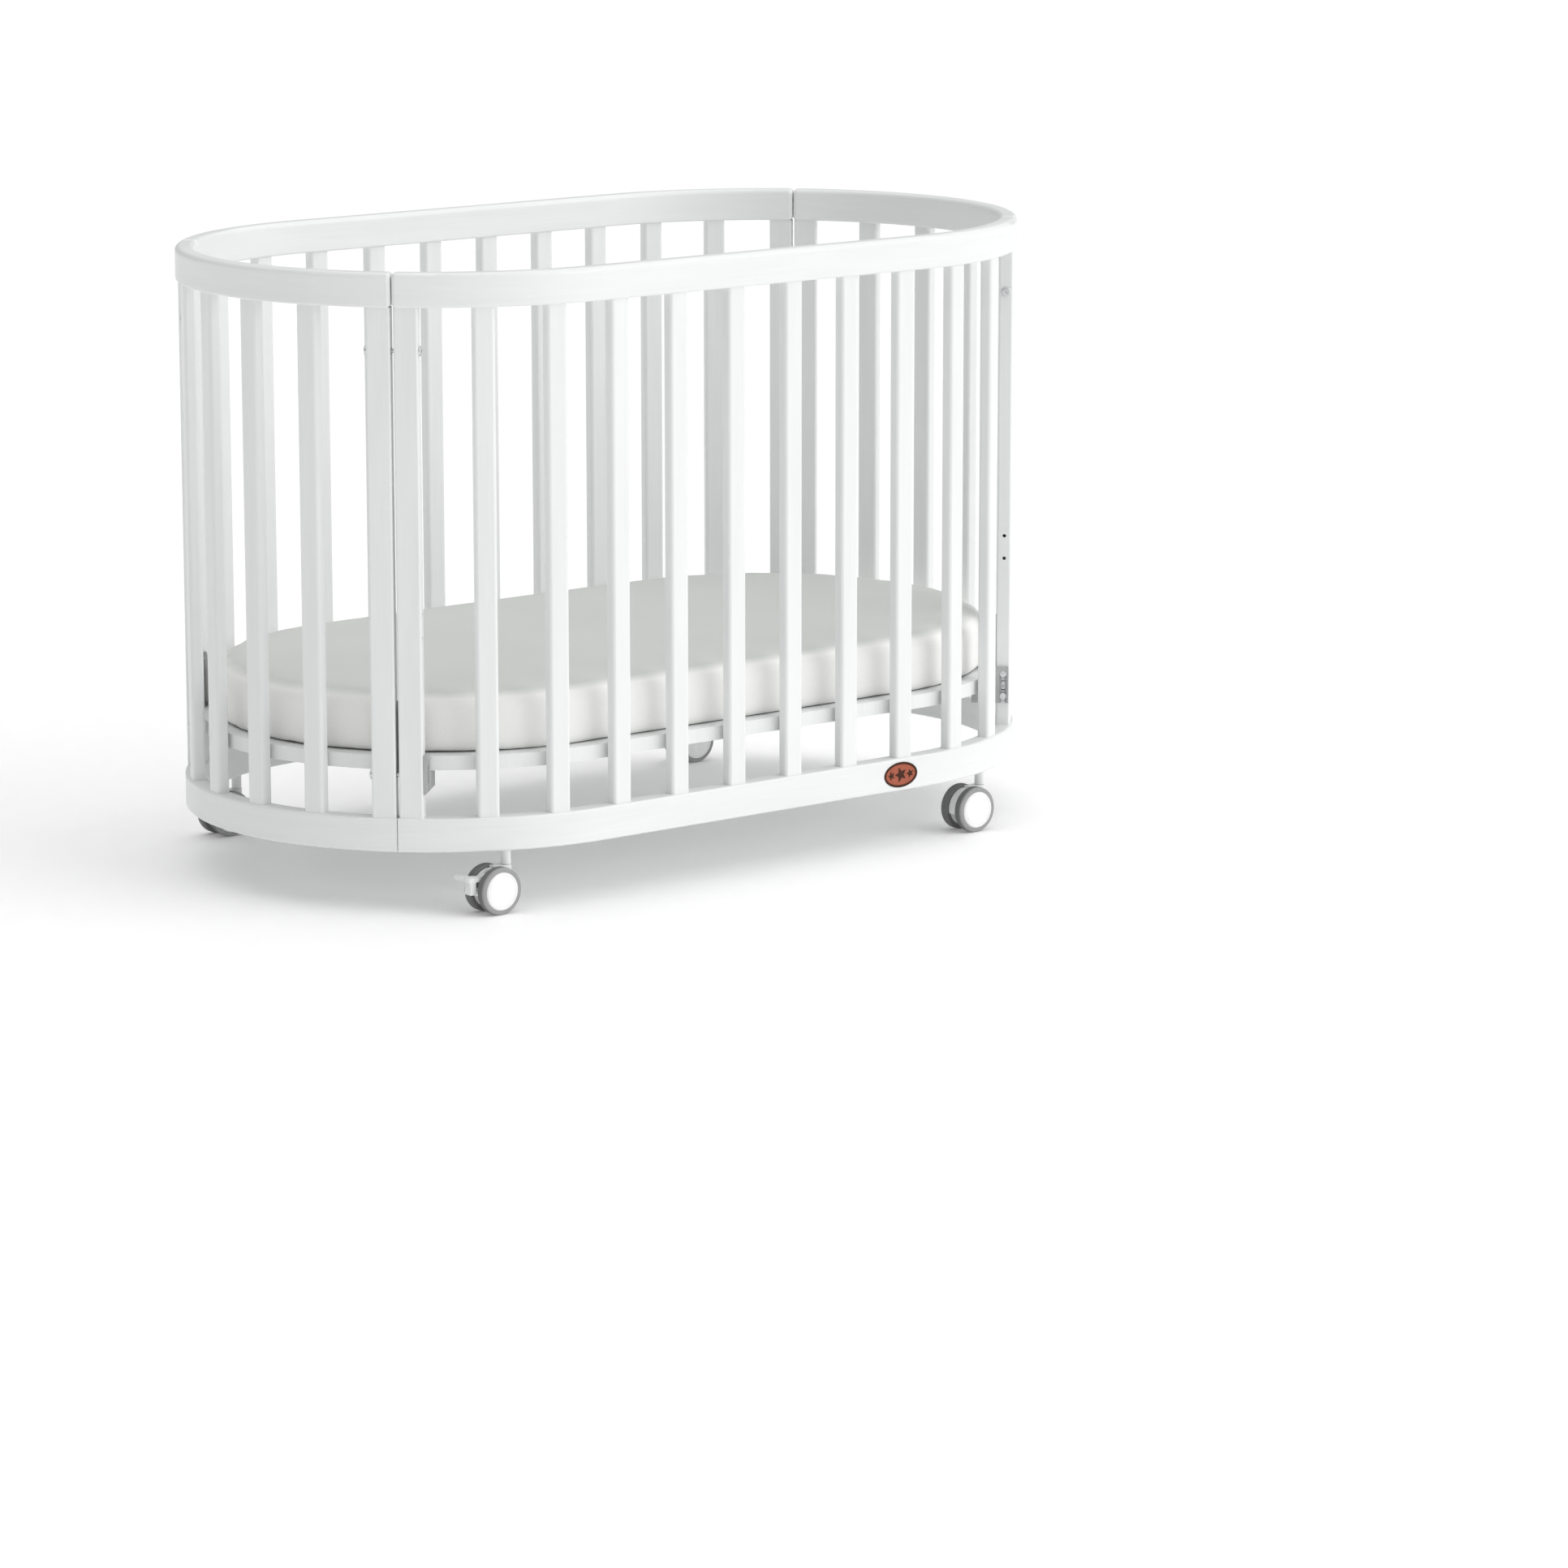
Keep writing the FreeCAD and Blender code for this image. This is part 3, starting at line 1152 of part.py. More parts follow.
wheel_pair = group("wheel_pair", [hub, mirrored("hub_far", hub, Y_AXIS)])
tyre_pair = group("tyre_pair", [tyre, mirrored("tyre_far", tyre, Y_AXIS)])

spot = caster_place(0).Base
CASTER_SPOTS = dict(zip(CORNERS, (Vector(way_x * spot.x, way_y * spot.y, 0)
                                  for way_y in (1, -1) for way_x in (1, -1))))
for number, (corner, place) in enumerate(CASTER_SPOTS.items()):
    braked = corner.endswith("left")
    pieces = {
        "housing": braked_housing if braked else housing,
        "wheels": wheel_pair,
        "tyres": tyre_pair,
        "axle": axle,
    }
    if braked:
        pieces["brake_pedal"] = pedal
        pieces["brake_pin"] = brake_pin
    for name, source in pieces.items():
        label = f"caster_{corner}_{name}"
        moved = copy_at(label + "_copy", source, Placement(place, UPRIGHT))
        keep_group(label, [moved])
for label, source in (("caster_stems", stem), ("caster_inserts", insert)):
    copies = [copy_at(f"{label}_{corner}", source, Placement(place, UPRIGHT))
              for corner, place in CASTER_SPOTS.items()]
    keep_group(label, copies)

# ---------------------------------------------------------------- checks and export
doc.recompute()
faults = [item.Label for item in doc.Objects if "Invalid" in item.State or "Error" in item.State]
if faults:
    raise RuntimeError("features failed: " + ", ".join(faults))
os.makedirs("parts", exist_ok=True)
for label, made in NODES.items():
    shape = made.Shape
    if shape.isNull() or not shape.isValid() or not shape.Solids:
        raise RuntimeError("bad shape: " + label)
for label, made in NODES.items():
    made.Shape.exportStep(f"parts/{label}.step")
print(len(NODES), "nodes written")
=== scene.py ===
"""Oval baby crib: its finishes, its mattress cover, its small trims and a plain studio."""

import json
import math

import bmesh
import bpy
from bpy.props import FloatProperty, FloatVectorProperty, PointerProperty
from mathutils import Matrix, Vector


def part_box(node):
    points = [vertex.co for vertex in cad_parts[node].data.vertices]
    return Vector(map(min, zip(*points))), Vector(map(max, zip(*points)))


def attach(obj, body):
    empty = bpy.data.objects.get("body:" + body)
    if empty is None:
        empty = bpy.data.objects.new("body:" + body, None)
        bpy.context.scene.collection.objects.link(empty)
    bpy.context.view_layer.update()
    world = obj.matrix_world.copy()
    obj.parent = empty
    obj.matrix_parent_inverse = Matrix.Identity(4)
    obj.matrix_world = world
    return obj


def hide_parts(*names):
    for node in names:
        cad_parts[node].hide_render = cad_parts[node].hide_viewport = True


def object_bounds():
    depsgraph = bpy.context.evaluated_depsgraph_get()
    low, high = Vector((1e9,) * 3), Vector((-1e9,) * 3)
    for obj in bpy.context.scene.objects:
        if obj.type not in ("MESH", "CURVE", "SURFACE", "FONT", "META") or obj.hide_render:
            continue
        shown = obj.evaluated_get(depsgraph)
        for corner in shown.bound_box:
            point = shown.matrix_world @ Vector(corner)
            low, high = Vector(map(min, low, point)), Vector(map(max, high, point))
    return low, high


bl_info = {
    "name": "Oval Baby Crib",
    "version": (1, 0, 0),
    "blender": (4, 5, 0),
    "location": "View3D > Sidebar > Crib",
    "description": "Finishes an oval baby crib and sets it in a plain studio",
    "category": "Object",
}

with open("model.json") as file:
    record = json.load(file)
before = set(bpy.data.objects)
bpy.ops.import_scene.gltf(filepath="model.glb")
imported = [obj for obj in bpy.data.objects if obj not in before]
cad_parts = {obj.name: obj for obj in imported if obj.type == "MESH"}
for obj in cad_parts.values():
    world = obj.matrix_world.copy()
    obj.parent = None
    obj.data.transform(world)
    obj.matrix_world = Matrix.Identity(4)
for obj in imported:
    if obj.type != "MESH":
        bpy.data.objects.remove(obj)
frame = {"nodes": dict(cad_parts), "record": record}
cad_low, cad_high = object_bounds()
SLOT_OF_NODE = {part["node"]: part["material_slot"] for part in frame["record"]["subparts"]}

CORNERS = ("back_right", "back_left", "front_right", "front_left")

# ---------------------------------------------------------------- fixed measures
# the oval is two straight sides joined by two half circles
RAIL_OUTER_RADIUS = cad_high.y
HALF_STRAIGHT = cad_high.x - RAIL_OUTER_RADIUS
OVAL_STEPS = 160
ARC_STEPS = OVAL_STEPS // 2
# points nearer than this are one point
MERGE = 0.00001
# edges sharper than this stay crisp when a piece is shaded smooth
CRISP_ANGLE = math.radians(35)
BEVEL_STEPS = 6
CORD_SIDES = 10
# the cover's cloth is filled from moment 1 to this one, then smoothed this many times
LAST_MOMENT = 20
SOFTEN_TIMES = 3
# the painted shade on the cover's top is full from this far below the top of its room
SHADED_TOP_DEPTH = 0.003
# a tyre's painted highlight fades in on its outer side between these depths from its outer face
HIGHLIGHT_INNER = 0.0040
HIGHLIGHT_OUTER = 0.0022
FLOOR_STEPS = 128
# the sockets of a mixing node that take and give colours
MIX_FIRST = 6
MIX_SECOND = 7
MIX_RESULT = 2


# ---------------------------------------------------------------- settings
def colour(name, note, default):
    """A colour setting."""
    return FloatVectorProperty(name=name, description=note, default=default, size=3,
                               subtype="COLOR", min=0, max=1)


def length(name, note, default):
    """A length setting."""
    return FloatProperty(name=name, description=note, default=default, unit="LENGTH", min=0)


def share(name, note, default):
    """A setting from nought to one."""
    return FloatProperty(name=name, description=note, default=default, subtype="FACTOR",
                         min=0, max=1)


class CribFinish(bpy.types.PropertyGroup):
    """Colours and gloss of the crib's hard parts."""

    lacquer: colour("Lacquer", "White lacquer on rails, slats and posts", (0.87, 0.88, 0.88))
    lacquer_gloss: share("Lacquer roughness", "Satin, nearly matt", 0.44)
    board: colour("Board paint", "Paint on the mattress base", (0.85, 0.86, 0.86))
    beech: colour("Beech", "Bare wood of the dowels", (0.66, 0.46, 0.29))
    zinc: colour("Zinc", "Plating on bolts, screws and pins", (0.74, 0.75, 0.76))
    strap: colour("Strap steel", "Grey plating on the straps", (0.36, 0.36, 0.37))
    bracket: colour("Bracket", "Grey powder coat on the brackets", (0.46, 0.47, 0.47))
    strap_pad: colour("Strap pad", "Plastic pads on the straps", (0.42, 0.42, 0.41))
    plastic: colour("White plastic", "Housings and pedals", (0.88, 0.89, 0.89))
    # the wheel discs' colour is lifted above the housings' white plastic as painted light, so
    # that they look fully lit
    disc_painted_light: colour("Disc", "Glossy outer discs of the wheels", (0.96, 0.96, 0.96))
    tread: colour("Tread", "The dark part of a tyre", (0.17, 0.17, 0.17))
    # the tyre's paler colour is a painted highlight on its outer side
    tyre_highlight: colour("Tyre ring", "The paler side of a tyre", (0.34, 0.34, 0.34))


class CribMattress(bpy.types.PropertyGroup):
    """Shape and colours of the mattress in its fitted cover."""

    # side is the white cotton; top is that cotton painted pale grey as the shade on the
    # mattress's upper face
    side: colour("Side", "White cotton of the border", (0.93, 0.93, 0.91))
    top: colour("Top", "Pale grey cotton of the upper panel", (0.64, 0.655, 0.635))
    piping: colour("Piping", "Cord along the lower edge", (0.20, 0.20, 0.20))
    start_inset: length("Start inset", "How much smaller the cover is before filling", 0.005)
    top_round: length("Upper rounding", "Radius of the cover's upper edge", 0.020)
    bottom_round: length("Lower rounding", "Radius of the cover's lower edge", 0.007)
    mesh_size: length("Mesh size", "Length of the cover's mesh edges", 0.006)
    swell: length("Swell", "Furthest that filling moves a point of the cover", 0.005)
    pressure: FloatProperty(name="Pressure", description="Pressure of the filling", default=4,
                            min=0)
    piping_radius: length("Piping radius", "Half the thickness of the cord", 0.0010)


class CribBadge(bpy.types.PropertyGroup):
    """The small oval badge on the front."""

    copper: colour("Copper", "The badge's field", (0.40, 0.125, 0.080))
    bronze: colour("Bronze", "The badge's border and stars", (0.075, 0.035, 0.025))
    border: length("Border", "Width of the raised border", 0.0030)
    sink: length("Sink", "How deep the field lies below the border", 0.0007)
    star: length("Star", "Radius of the middle star", 0.0110)


class CribStudio(bpy.types.PropertyGroup):
    """Camera, lamps and floor."""

    camera_place: FloatVectorProperty(name="Camera place", description="Where the camera stands",
                                      default=(-5.054, -6.621, 1.785), unit="LENGTH")
    camera_turn: FloatProperty(name="Camera turn", description="From +Y towards +X",
                               default=math.radians(39.08), unit="ROTATION")
    camera_dip: FloatProperty(name="Camera dip", description="Below the horizon",
                              default=math.radians(11.66), unit="ROTATION")
    lens: FloatProperty(name="Lens", description="Focal length in millimetres", default=136.6)
    sky: FloatProperty(name="Sky", description="Strength of the even light", default=0.34, min=0)
    key: FloatProperty(name="Key lamp", description="Strength of the low front lamp",
                       default=1.4, min=0)
    key_spread: FloatProperty(name="Key spread", description="How broad the front lamp is",
                              default=math.radians(62), unit="ROTATION")
    key_way: FloatVectorProperty(name="Key direction", description="Towards the key lamp",
                                 default=(0.55, -0.80, 0.35), subtype="DIRECTION")
    top: FloatProperty(name="Top lamp", description="Strength of the overhead lamp",
                       default=1.5, min=0)
    top_spread: FloatProperty(name="Top spread", description="How broad the overhead lamp is",
                              default=math.radians(100), unit="ROTATION")
    top_way: FloatVectorProperty(name="Top direction", description="Towards the overhead lamp",
                                 default=(0.15, 0.05, 0.98), subtype="DIRECTION")
    floor: colour("Floor", "Pale studio floor", (0.98, 0.98, 0.98))
    floor_glow: share("Floor glow", "Light that the floor itself gives", 0.10)
    floor_radius: length("Floor radius", "Reach of the floor", 40)


# ---------------------------------------------------------------- shader helpers
def add(tree, kind, inputs=None, **settings):
    """Add a shader node; each input is a value or another node's output."""
    made = tree.nodes.new(kind)
    for name, value in settings.items():
        setattr(made, name, value)
    for key, value in (inputs or {}).items():
        if isinstance(value, bpy.types.NodeSocket):
            tree.links.new(value, made.inputs[key])
        else:
            made.inputs[key].default_value = value
    return made


def maths(tree, operation, *values):
    """The result of a sum or other operation on one or two values."""
    made = add(tree, "ShaderNodeMath", dict(enumerate(values)), operation=operation)
    return made.outputs[0]


def noise(tree, vector, scale, detail=2.0):
    """Noise from about nought to one."""
    inputs = {"Vector": vector, "Scale": scale, "Detail": detail}
    return add(tree, "ShaderNodeTexNoise", inputs).outputs["Fac"]


def stretched(tree, vector, amounts):
    """A vector scaled by its own amount on each axis."""
    made = add(tree, "ShaderNodeVectorMath", {0: vector, 1: amounts}, operation="MULTIPLY")
    return made.outputs[0]


def spread(tree, value, low, high, source=(0.3, 0.7)):
    """A value moved from one range to another, and held inside it."""
    inputs = {"Value": value, "From Min": source[0], "From Max": source[1],
              "To Min": low, "To Max": high}
    return add(tree, "ShaderNodeMapRange", inputs).outputs[0]


def mixed(tree, factor, first, second):
    """A colour between two others."""
    inputs = {"Factor": factor, MIX_FIRST: first, MIX_SECOND: second}
    return add(tree, "ShaderNodeMix", inputs, data_type="RGBA").outputs[MIX_RESULT]


def opaque(rgb, shade=1.0):
    """A colour made lighter or darker, with full alpha."""
    return (*(min(1.0, part * shade) for part in rgb), 1.0)


def node_group(name, inputs, outputs):
    """A new group tree with its sockets, its input node and its output node."""
    tree = bpy.data.node_groups.new(name, "ShaderNodeTree")
    for socket, kind in inputs:
        tree.interface.new_socket(socket, in_out="INPUT", socket_type="NodeSocket" + kind)
    for socket, kind in outputs:
        tree.interface.new_socket(socket, in_out="OUTPUT", socket_type="NodeSocket" + kind)
    return tree, tree.nodes.new("NodeGroupInput").outputs, tree.nodes.new("NodeGroupOutput")


def close_group(tree, end, results):
    """Link a group's results to its output node."""
    for name, socket in results.items():
        tree.links.new(socket, end.inputs[name])
    return tree


def wood_film_group():
    """Paint or lacquer on wood: faint grain under a film with a little orange peel.

    The grain runs along the vector's Z axis.
    """
    tree, given, end = node_group(
        "Wood Film",
        [("Vector", "Vector"), ("Light", "Color"), ("Shaded", "Color"), ("Smooth", "Float"),
         ("Rough", "Float")],
        [("Color", "Color"), ("Roughness", "Float"), ("Height", "Float")])
    fibres = noise(tree, stretched(tree, given["Vector"], (1, 1, 0.03)), 420, 3)
    figure = noise(tree, stretched(tree, given["Vector"], (1, 1, 0.12)), 38, 2)
    peel = noise(tree, given["Vector"], 700, 0)
    handling = noise(tree, given["Vector"], 9, 2)
    tone = spread(tree, maths(tree, "ADD", maths(tree, "MULTIPLY", fibres, 0.4),
                              maths(tree, "MULTIPLY", figure, 0.6)), 0, 1, (0.35, 0.65))
    height = maths(tree, "ADD", maths(tree, "MULTIPLY", fibres, 0.6),
                   maths(tree, "MULTIPLY", peel, 0.4))
    rough = spread(tree, handling, given["Smooth"], given["Rough"], (0.35, 0.65))
    return close_group(tree, end, {
        "Color": mixed(tree, tone, given["Shaded"], given["Light"]),
        "Roughness": rough, "Height": height})


def oval_vector_group():
    """Coordinates that follow the oval: outwards, up, and along the rail as Z."""
    tree, given, end = node_group("Oval Coordinates", [("Vector", "Vector")],
                                  [("Vector", "Vector")])
    parts = add(tree, "ShaderNodeSeparateXYZ", {0: given["Vector"]}).outputs
    reach = maths(tree, "ABSOLUTE", parts["X"])
    past = maths(tree, "MAXIMUM", maths(tree, "SUBTRACT", reach, HALF_STRAIGHT), 0.0)
    side = maths(tree, "ABSOLUTE", parts["Y"])
    outwards = maths(tree, "SQRT", maths(tree, "ADD", maths(tree, "MULTIPLY", past, past),
                                         maths(tree, "MULTIPLY", side, side)))
    bend = maths(tree, "MULTIPLY", maths(tree, "ARCTAN2", past, side), RAIL_OUTER_RADIUS)
    run = maths(tree, "ADD", maths(tree, "MINIMUM", reach, HALF_STRAIGHT), bend)
    along = maths(tree, "MULTIPLY", run, maths(tree, "SIGN", parts["X"]))
    made = add(tree, "ShaderNodeCombineXYZ", {"X": outwards, "Y": parts["Z"], "Z": along})
    return close_group(tree, end, {"Vector": made.outputs[0]})


def moulded_group():
    """Moulded plastic, rubber or powder coat: fine stipple and uneven gloss."""
    tree, given, end = node_group(
        "Moulded Surface",
        [("Vector", "Vector"), ("Light", "Color"), ("Shaded", "Color"), ("Grain Size", "Float"),
         ("Smooth", "Float"), ("Rough", "Float")],
        [("Color", "Color"), ("Roughness", "Float"), ("Height", "Float")])
    stipple = noise(tree, given["Vector"], given["Grain Size"], 1)
    cloud = noise(tree, given["Vector"], 35, 2)
    rough = spread(tree, cloud, given["Smooth"], given["Rough"], (0.35, 0.65))
    return close_group(tree, end, {
        "Color": mixed(tree, spread(tree, cloud, 0, 1), given["Shaded"], given["Light"]),
        "Roughness": rough, "Height": stipple})


def brushed_group():
    """Plated or brushed metal: fine lines along Z and a clouded plating."""
    tree, given, end = node_group(
        "Brushed Metal",
        [("Vector", "Vector"), ("Light", "Color"), ("Shaded", "Color"), ("Smooth", "Float"),
         ("Rough", "Float")],
        [("Color", "Color"), ("Roughness", "Float"), ("Height", "Float")])
    lines = noise(tree, stretched(tree, given["Vector"], (1, 1, 0.05)), 2400, 2)
    cloud = noise(tree, given["Vector"], 160, 3)
    rough = spread(tree, lines, given["Smooth"], given["Rough"], (0.3, 0.7))
    return close_group(tree, end, {
        "Color": mixed(tree, spread(tree, cloud, 0, 1), given["Shaded"], given["Light"]),
        "Roughness": rough, "Height": lines})


def weave_group():
    """Plain weave: crossing threads on faces that look up or sideways, with slubs."""
    tree, given, end = node_group(
        "Weave",
        [("Vector", "Vector"), ("Light", "Color"), ("Shaded", "Color"), ("Thread", "Float")],
        [("Color", "Color"), ("Roughness", "Float"), ("Height", "Float")])
    turns = maths(tree, "DIVIDE", 2 * math.pi, given["Thread"])
    parts = add(tree, "ShaderNodeSeparateXYZ", {0: given["Vector"]}).outputs
    waves = [maths(tree, "SINE", maths(tree, "MULTIPLY", parts[axis], turns)) for axis in "XYZ"]
    crossings = [maths(tree, "MULTIPLY", waves[axis], waves[axis - 1]) for axis in range(3)]
    threads = maths(tree, "ADD", maths(tree, "ADD", crossings[0], crossings[1]), crossings[2])
    slubs = noise(tree, given["Vector"], 240, 3)
    ease = noise(tree, given["Vector"], 6, 2)
    height = maths(tree, "ADD", maths(tree, "MULTIPLY", threads, 0.25),
                   maths(tree, "MULTIPLY", slubs, 0.6))
    tone = maths(tree, "ADD", maths(tree, "MULTIPLY", slubs, 0.4),
                 maths(tree, "MULTIPLY", ease, 0.6))
    return close_group(tree, end, {
        "Color": mixed(tree, spread(tree, tone, 0, 1, (0.35, 0.65)), given["Shaded"],
                       given["Light"]),
        "Roughness": spread(tree, slubs, 0.82, 0.94), "Height": height})


GROUP_MAKERS = {
    "Wood Film": wood_film_group,
    "Oval Coordinates": oval_vector_group,
    "Moulded Surface": moulded_group,
    "Brushed Metal": brushed_group,
    "Weave": weave_group,
}


def use_group(tree, name, inputs):
    """Place a shared effect in a material; it is built the first time that it is used."""
    effect = bpy.data.node_groups.get(name) or GROUP_MAKERS[name]()
    return add(tree, "ShaderNodeGroup", inputs, node_tree=effect).outputs


def start_material(name):
    """An empty material with its shader and the object's own coordinates."""
    material = bpy.data.materials.new(name)
    material.use_nodes = True
    tree = material.node_tree
    tree.nodes.clear()
    shader = tree.nodes.new("ShaderNodeBsdfPrincipled")
    end = tree.nodes.new("ShaderNodeOutputMaterial")
    tree.links.new(shader.outputs[0], end.inputs["Surface"])
    place = tree.nodes.new("ShaderNodeTexCoord").outputs["Object"]
    return material, tree, shader, place


def dress(tree, shader, effect, bump, depth, **settings):
    """Feed a shared effect to the shader, with its bump and the shader's own plain values."""
    tree.links.new(effect["Color"], shader.inputs["Base Color"])
    tree.links.new(effect["Roughness"], shader.inputs["Roughness"])
    relief = add(tree, "ShaderNodeBump", {"Height": effect["Height"], "Strength": bump,
                                          "Distance": depth})
    tree.links.new(relief.outputs[0], shader.inputs["Normal"])
    for name, value in settings.items():
        shader.inputs[name.replace("_", " ")].default_value = value


def film_material(name, rgb, gloss, follows_oval=False, bump=0.12, shade=0.965):
    """Lacquered or painted wood."""
    material, tree, shader, place = start_material(name)
    if follows_oval:
        place = use_group(tree, "Oval Coordinates", {"Vector": place})["Vector"]
    effect = use_group(tree, "Wood Film", {
        "Vector": place, "Light": opaque(rgb, 1.01), "Shaded": opaque(rgb, shade),
        "Smooth": gloss - 0.05, "Rough": gloss + 0.07})
    dress(tree, shader, effect, bump, 0.0004, Coat_Weight=0.25, Coat_Roughness=0.28)
    return material


def moulded_material(name, rgb, gloss, grain=900.0, bump=0.10, shade=0.94, **settings):
    """Plastic, rubber or powder coat."""
    material, tree, shader, place = start_material(name)
    effect = use_group(tree, "Moulded Surface", {
        "Vector": place, "Light": opaque(rgb, 1.02), "Shaded": opaque(rgb, shade),
        "Grain Size": grain, "Smooth": gloss - 0.04, "Rough": gloss + 0.08})
    dress(tree, shader, effect, bump, 0.0003, **settings)
    return material


def metal_material(name, rgb, gloss, bump=0.10, shade=0.82):
    """Plated or brushed metal."""
    material, tree, shader, place = start_material(name)
    effect = use_group(tree, "Brushed Metal", {
        "Vector": place, "Light": opaque(rgb, 1.05), "Shaded": opaque(rgb, shade),
        "Smooth": gloss - 0.06, "Rough": gloss + 0.12})
    dress(tree, shader, effect, bump, 0.0002, Metallic=1.0)
    return material


# ---------------------------------------------------------------- piece helpers
def paint(node, material):
    """Give a node of the frame its finish."""
    piece = frame["nodes"][node]
    if not piece.material_slots:
        piece.data.materials.append(material)
    for slot in piece.material_slots:
        slot.material = material


def nodes_in_slot(slot):
    """The nodes that the record gives this material slot."""
    return [node for node, name in SLOT_OF_NODE.items() if name == slot]


def make_piece(name, shape, materials, body):
    """Turn a bmesh into a named piece that rides on a body."""
    bmesh.ops.remove_doubles(shape, verts=shape.verts, dist=MERGE)
    bmesh.ops.recalc_face_normals(shape, faces=shape.faces)
    mesh = bpy.data.meshes.new(name)
    shape.to_mesh(mesh)
    shape.free()
    piece = bpy.data.objects.new(name, mesh)
    bpy.context.scene.collection.objects.link(piece)
    for material in materials:
        mesh.materials.append(material)
    mesh.shade_smooth()
    mesh.set_sharp_from_angle(angle=CRISP_ANGLE)
    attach(piece, body)
    return piece


# ---------------------------------------------------------------- mattress shapes
def oval_slab(radius, bottom, top, top_round, bottom_round):
    """A closed oval block with rounded upper and lower edges."""
    shape = bmesh.new()
    half_step = Matrix.Rotation(math.pi / OVAL_STEPS, 4, "Z")
    bmesh.ops.create_circle(shape, cap_ends=True, segments=OVAL_STEPS, radius=radius,
                            matrix=Matrix.Translation((0, 0, bottom)) @ half_step)
    for way in (-1, 1):
        half = [point for point in shape.verts if point.co.x * way > 0]
        bmesh.ops.translate(shape, verts=half, vec=(way * HALF_STRAIGHT, 0, 0))
    raised = bmesh.ops.extrude_face_region(shape, geom=list(shape.faces))["geom"]
    lifted = [item for item in raised if isinstance(item, bmesh.types.BMVert)]
    bmesh.ops.translate(shape, verts=lifted, vec=(0, 0, top - bottom))
    for height, rounding in ((top, top_round), (bottom, bottom_round)):
        edge_ring = [edge for edge in shape.edges
                     if all(abs(point.co.z - height) < MERGE for point in edge.verts)]
        bmesh.ops.bevel(shape, geom=edge_ring, offset=rounding, offset_type="OFFSET",
                        segments=BEVEL_STEPS, profile=0.5, affect="EDGES", material=-1)
    return shape


def oval_cord(radius, height, thickness):
    """A closed round cord that follows the oval."""
    shape = bmesh.new()
    place = Matrix.Translation((-HALF_STRAIGHT, -radius, height))
    bmesh.ops.create_circle(shape, segments=CORD_SIDES, radius=thickness,
                            matrix=place @ Matrix.Rotation(math.pi / 2, 4, "Y"))
    ring = list(shape.edges)
    for way in (1, -1):
        moved = bmesh.ops.extrude_edge_only(shape, edges=ring)["geom"]
        points = [item for item in moved if isinstance(item, bmesh.types.BMVert)]
        bmesh.ops.translate(shape, verts=points, vec=(way * 2 * HALF_STRAIGHT, 0, 0))
        ring = [item for item in moved if isinstance(item, bmesh.types.BMEdge)
                and all(point in points for point in item.verts)]
        swept = bmesh.ops.spin(shape, geom=ring, cent=(way * HALF_STRAIGHT, 0, height),
                               axis=(0, 0, 1), angle=math.pi, steps=ARC_STEPS)
        ring = [item for item in swept["geom_last"] if isinstance(item, bmesh.types.BMEdge)]
    return shape


def remesh_evenly(piece, mesh_size):
    """Rebuild a closed piece from small even faces."""
    rebuild = piece.modifiers.new("even", "REMESH")
    rebuild.mode = "VOXEL"
    rebuild.voxel_size = mesh_size
    graph = bpy.context.evaluated_depsgraph_get()
    even = bpy.data.meshes.new_from_object(piece.evaluated_get(graph))
    piece.modifiers.remove(rebuild)
    piece.data = even
    even.shade_smooth()


def swell_cover(piece, pressure, limit):
    """Fill the cover like a stuffed thing, and let no point move further than the limit.

    Its top rises and its sides draw in.
    """
    before = [point.co.copy() for point in piece.data.vertices]
    cloth = piece.modifiers.new("cover", "CLOTH")
    cloth.settings.use_pressure = True
    cloth.settings.uniform_pressure_force = pressure
    cloth.settings.effector_weights.gravity = 0
    cloth.point_cache.frame_end = LAST_MOMENT
    for moment in range(1, LAST_MOMENT + 1):
        bpy.context.scene.frame_set(moment)
    graph = bpy.context.evaluated_depsgraph_get()
    after = [point.co.copy() for point in piece.evaluated_get(graph).data.vertices]
    piece.modifiers.remove(cloth)
    bpy.context.scene.frame_set(1)
    for point, start, end in zip(piece.data.vertices, before, after):
        step = end - start
        if step.length > limit:
            step = step.normalized() * limit
        point.co = start + step


def settle_cover(piece, low, high, radius):
    """Smooth the cover, and press it flat on the base and inside its own room."""
    shape = bmesh.new()
    shape.from_mesh(piece.data)
    for _ in range(SOFTEN_TIMES):
        bmesh.ops.smooth_vert(shape, verts=shape.verts, factor=0.5, use_axis_x=True,
                              use_axis_y=True, use_axis_z=True)
    for point in shape.verts:
        point.co.z = min(max(point.co.z, low), high)
        past = max(abs(point.co.x) - HALF_STRAIGHT, 0)
        reach = math.hypot(past, point.co.y)
        if reach > radius:
            scale = radius / reach
            point.co.y *= scale
            if past:
                point.co.x = math.copysign(HALF_STRAIGHT + past * scale, point.co.x)
    shape.to_mesh(piece.data)
    shape.free()
    piece.data.update()


# ---------------------------------------------------------------- small trims
def lathe(shape, profile, steps, place):
    """Turn a profile of radius and height pairs round Z, and move it to its place.

    A tag marks the points that are already in place.
    """
    points = [bmesh.ops.create_vert(shape, co=(radius, 0, height))["vert"][0]
              for radius, height in profile]
    edges = [shape.edges.new(pair) for pair in zip(points, points[1:])]
    bmesh.ops.spin(shape, geom=points + edges, cent=(0, 0, 0), axis=(0, 0, 1),
                   angle=2 * math.pi, steps=steps, use_merge=True)
    fresh = [point for point in shape.verts if not point.tag]
    bmesh.ops.transform(shape, matrix=place, verts=fresh)
    for point in fresh:
        point.tag = True


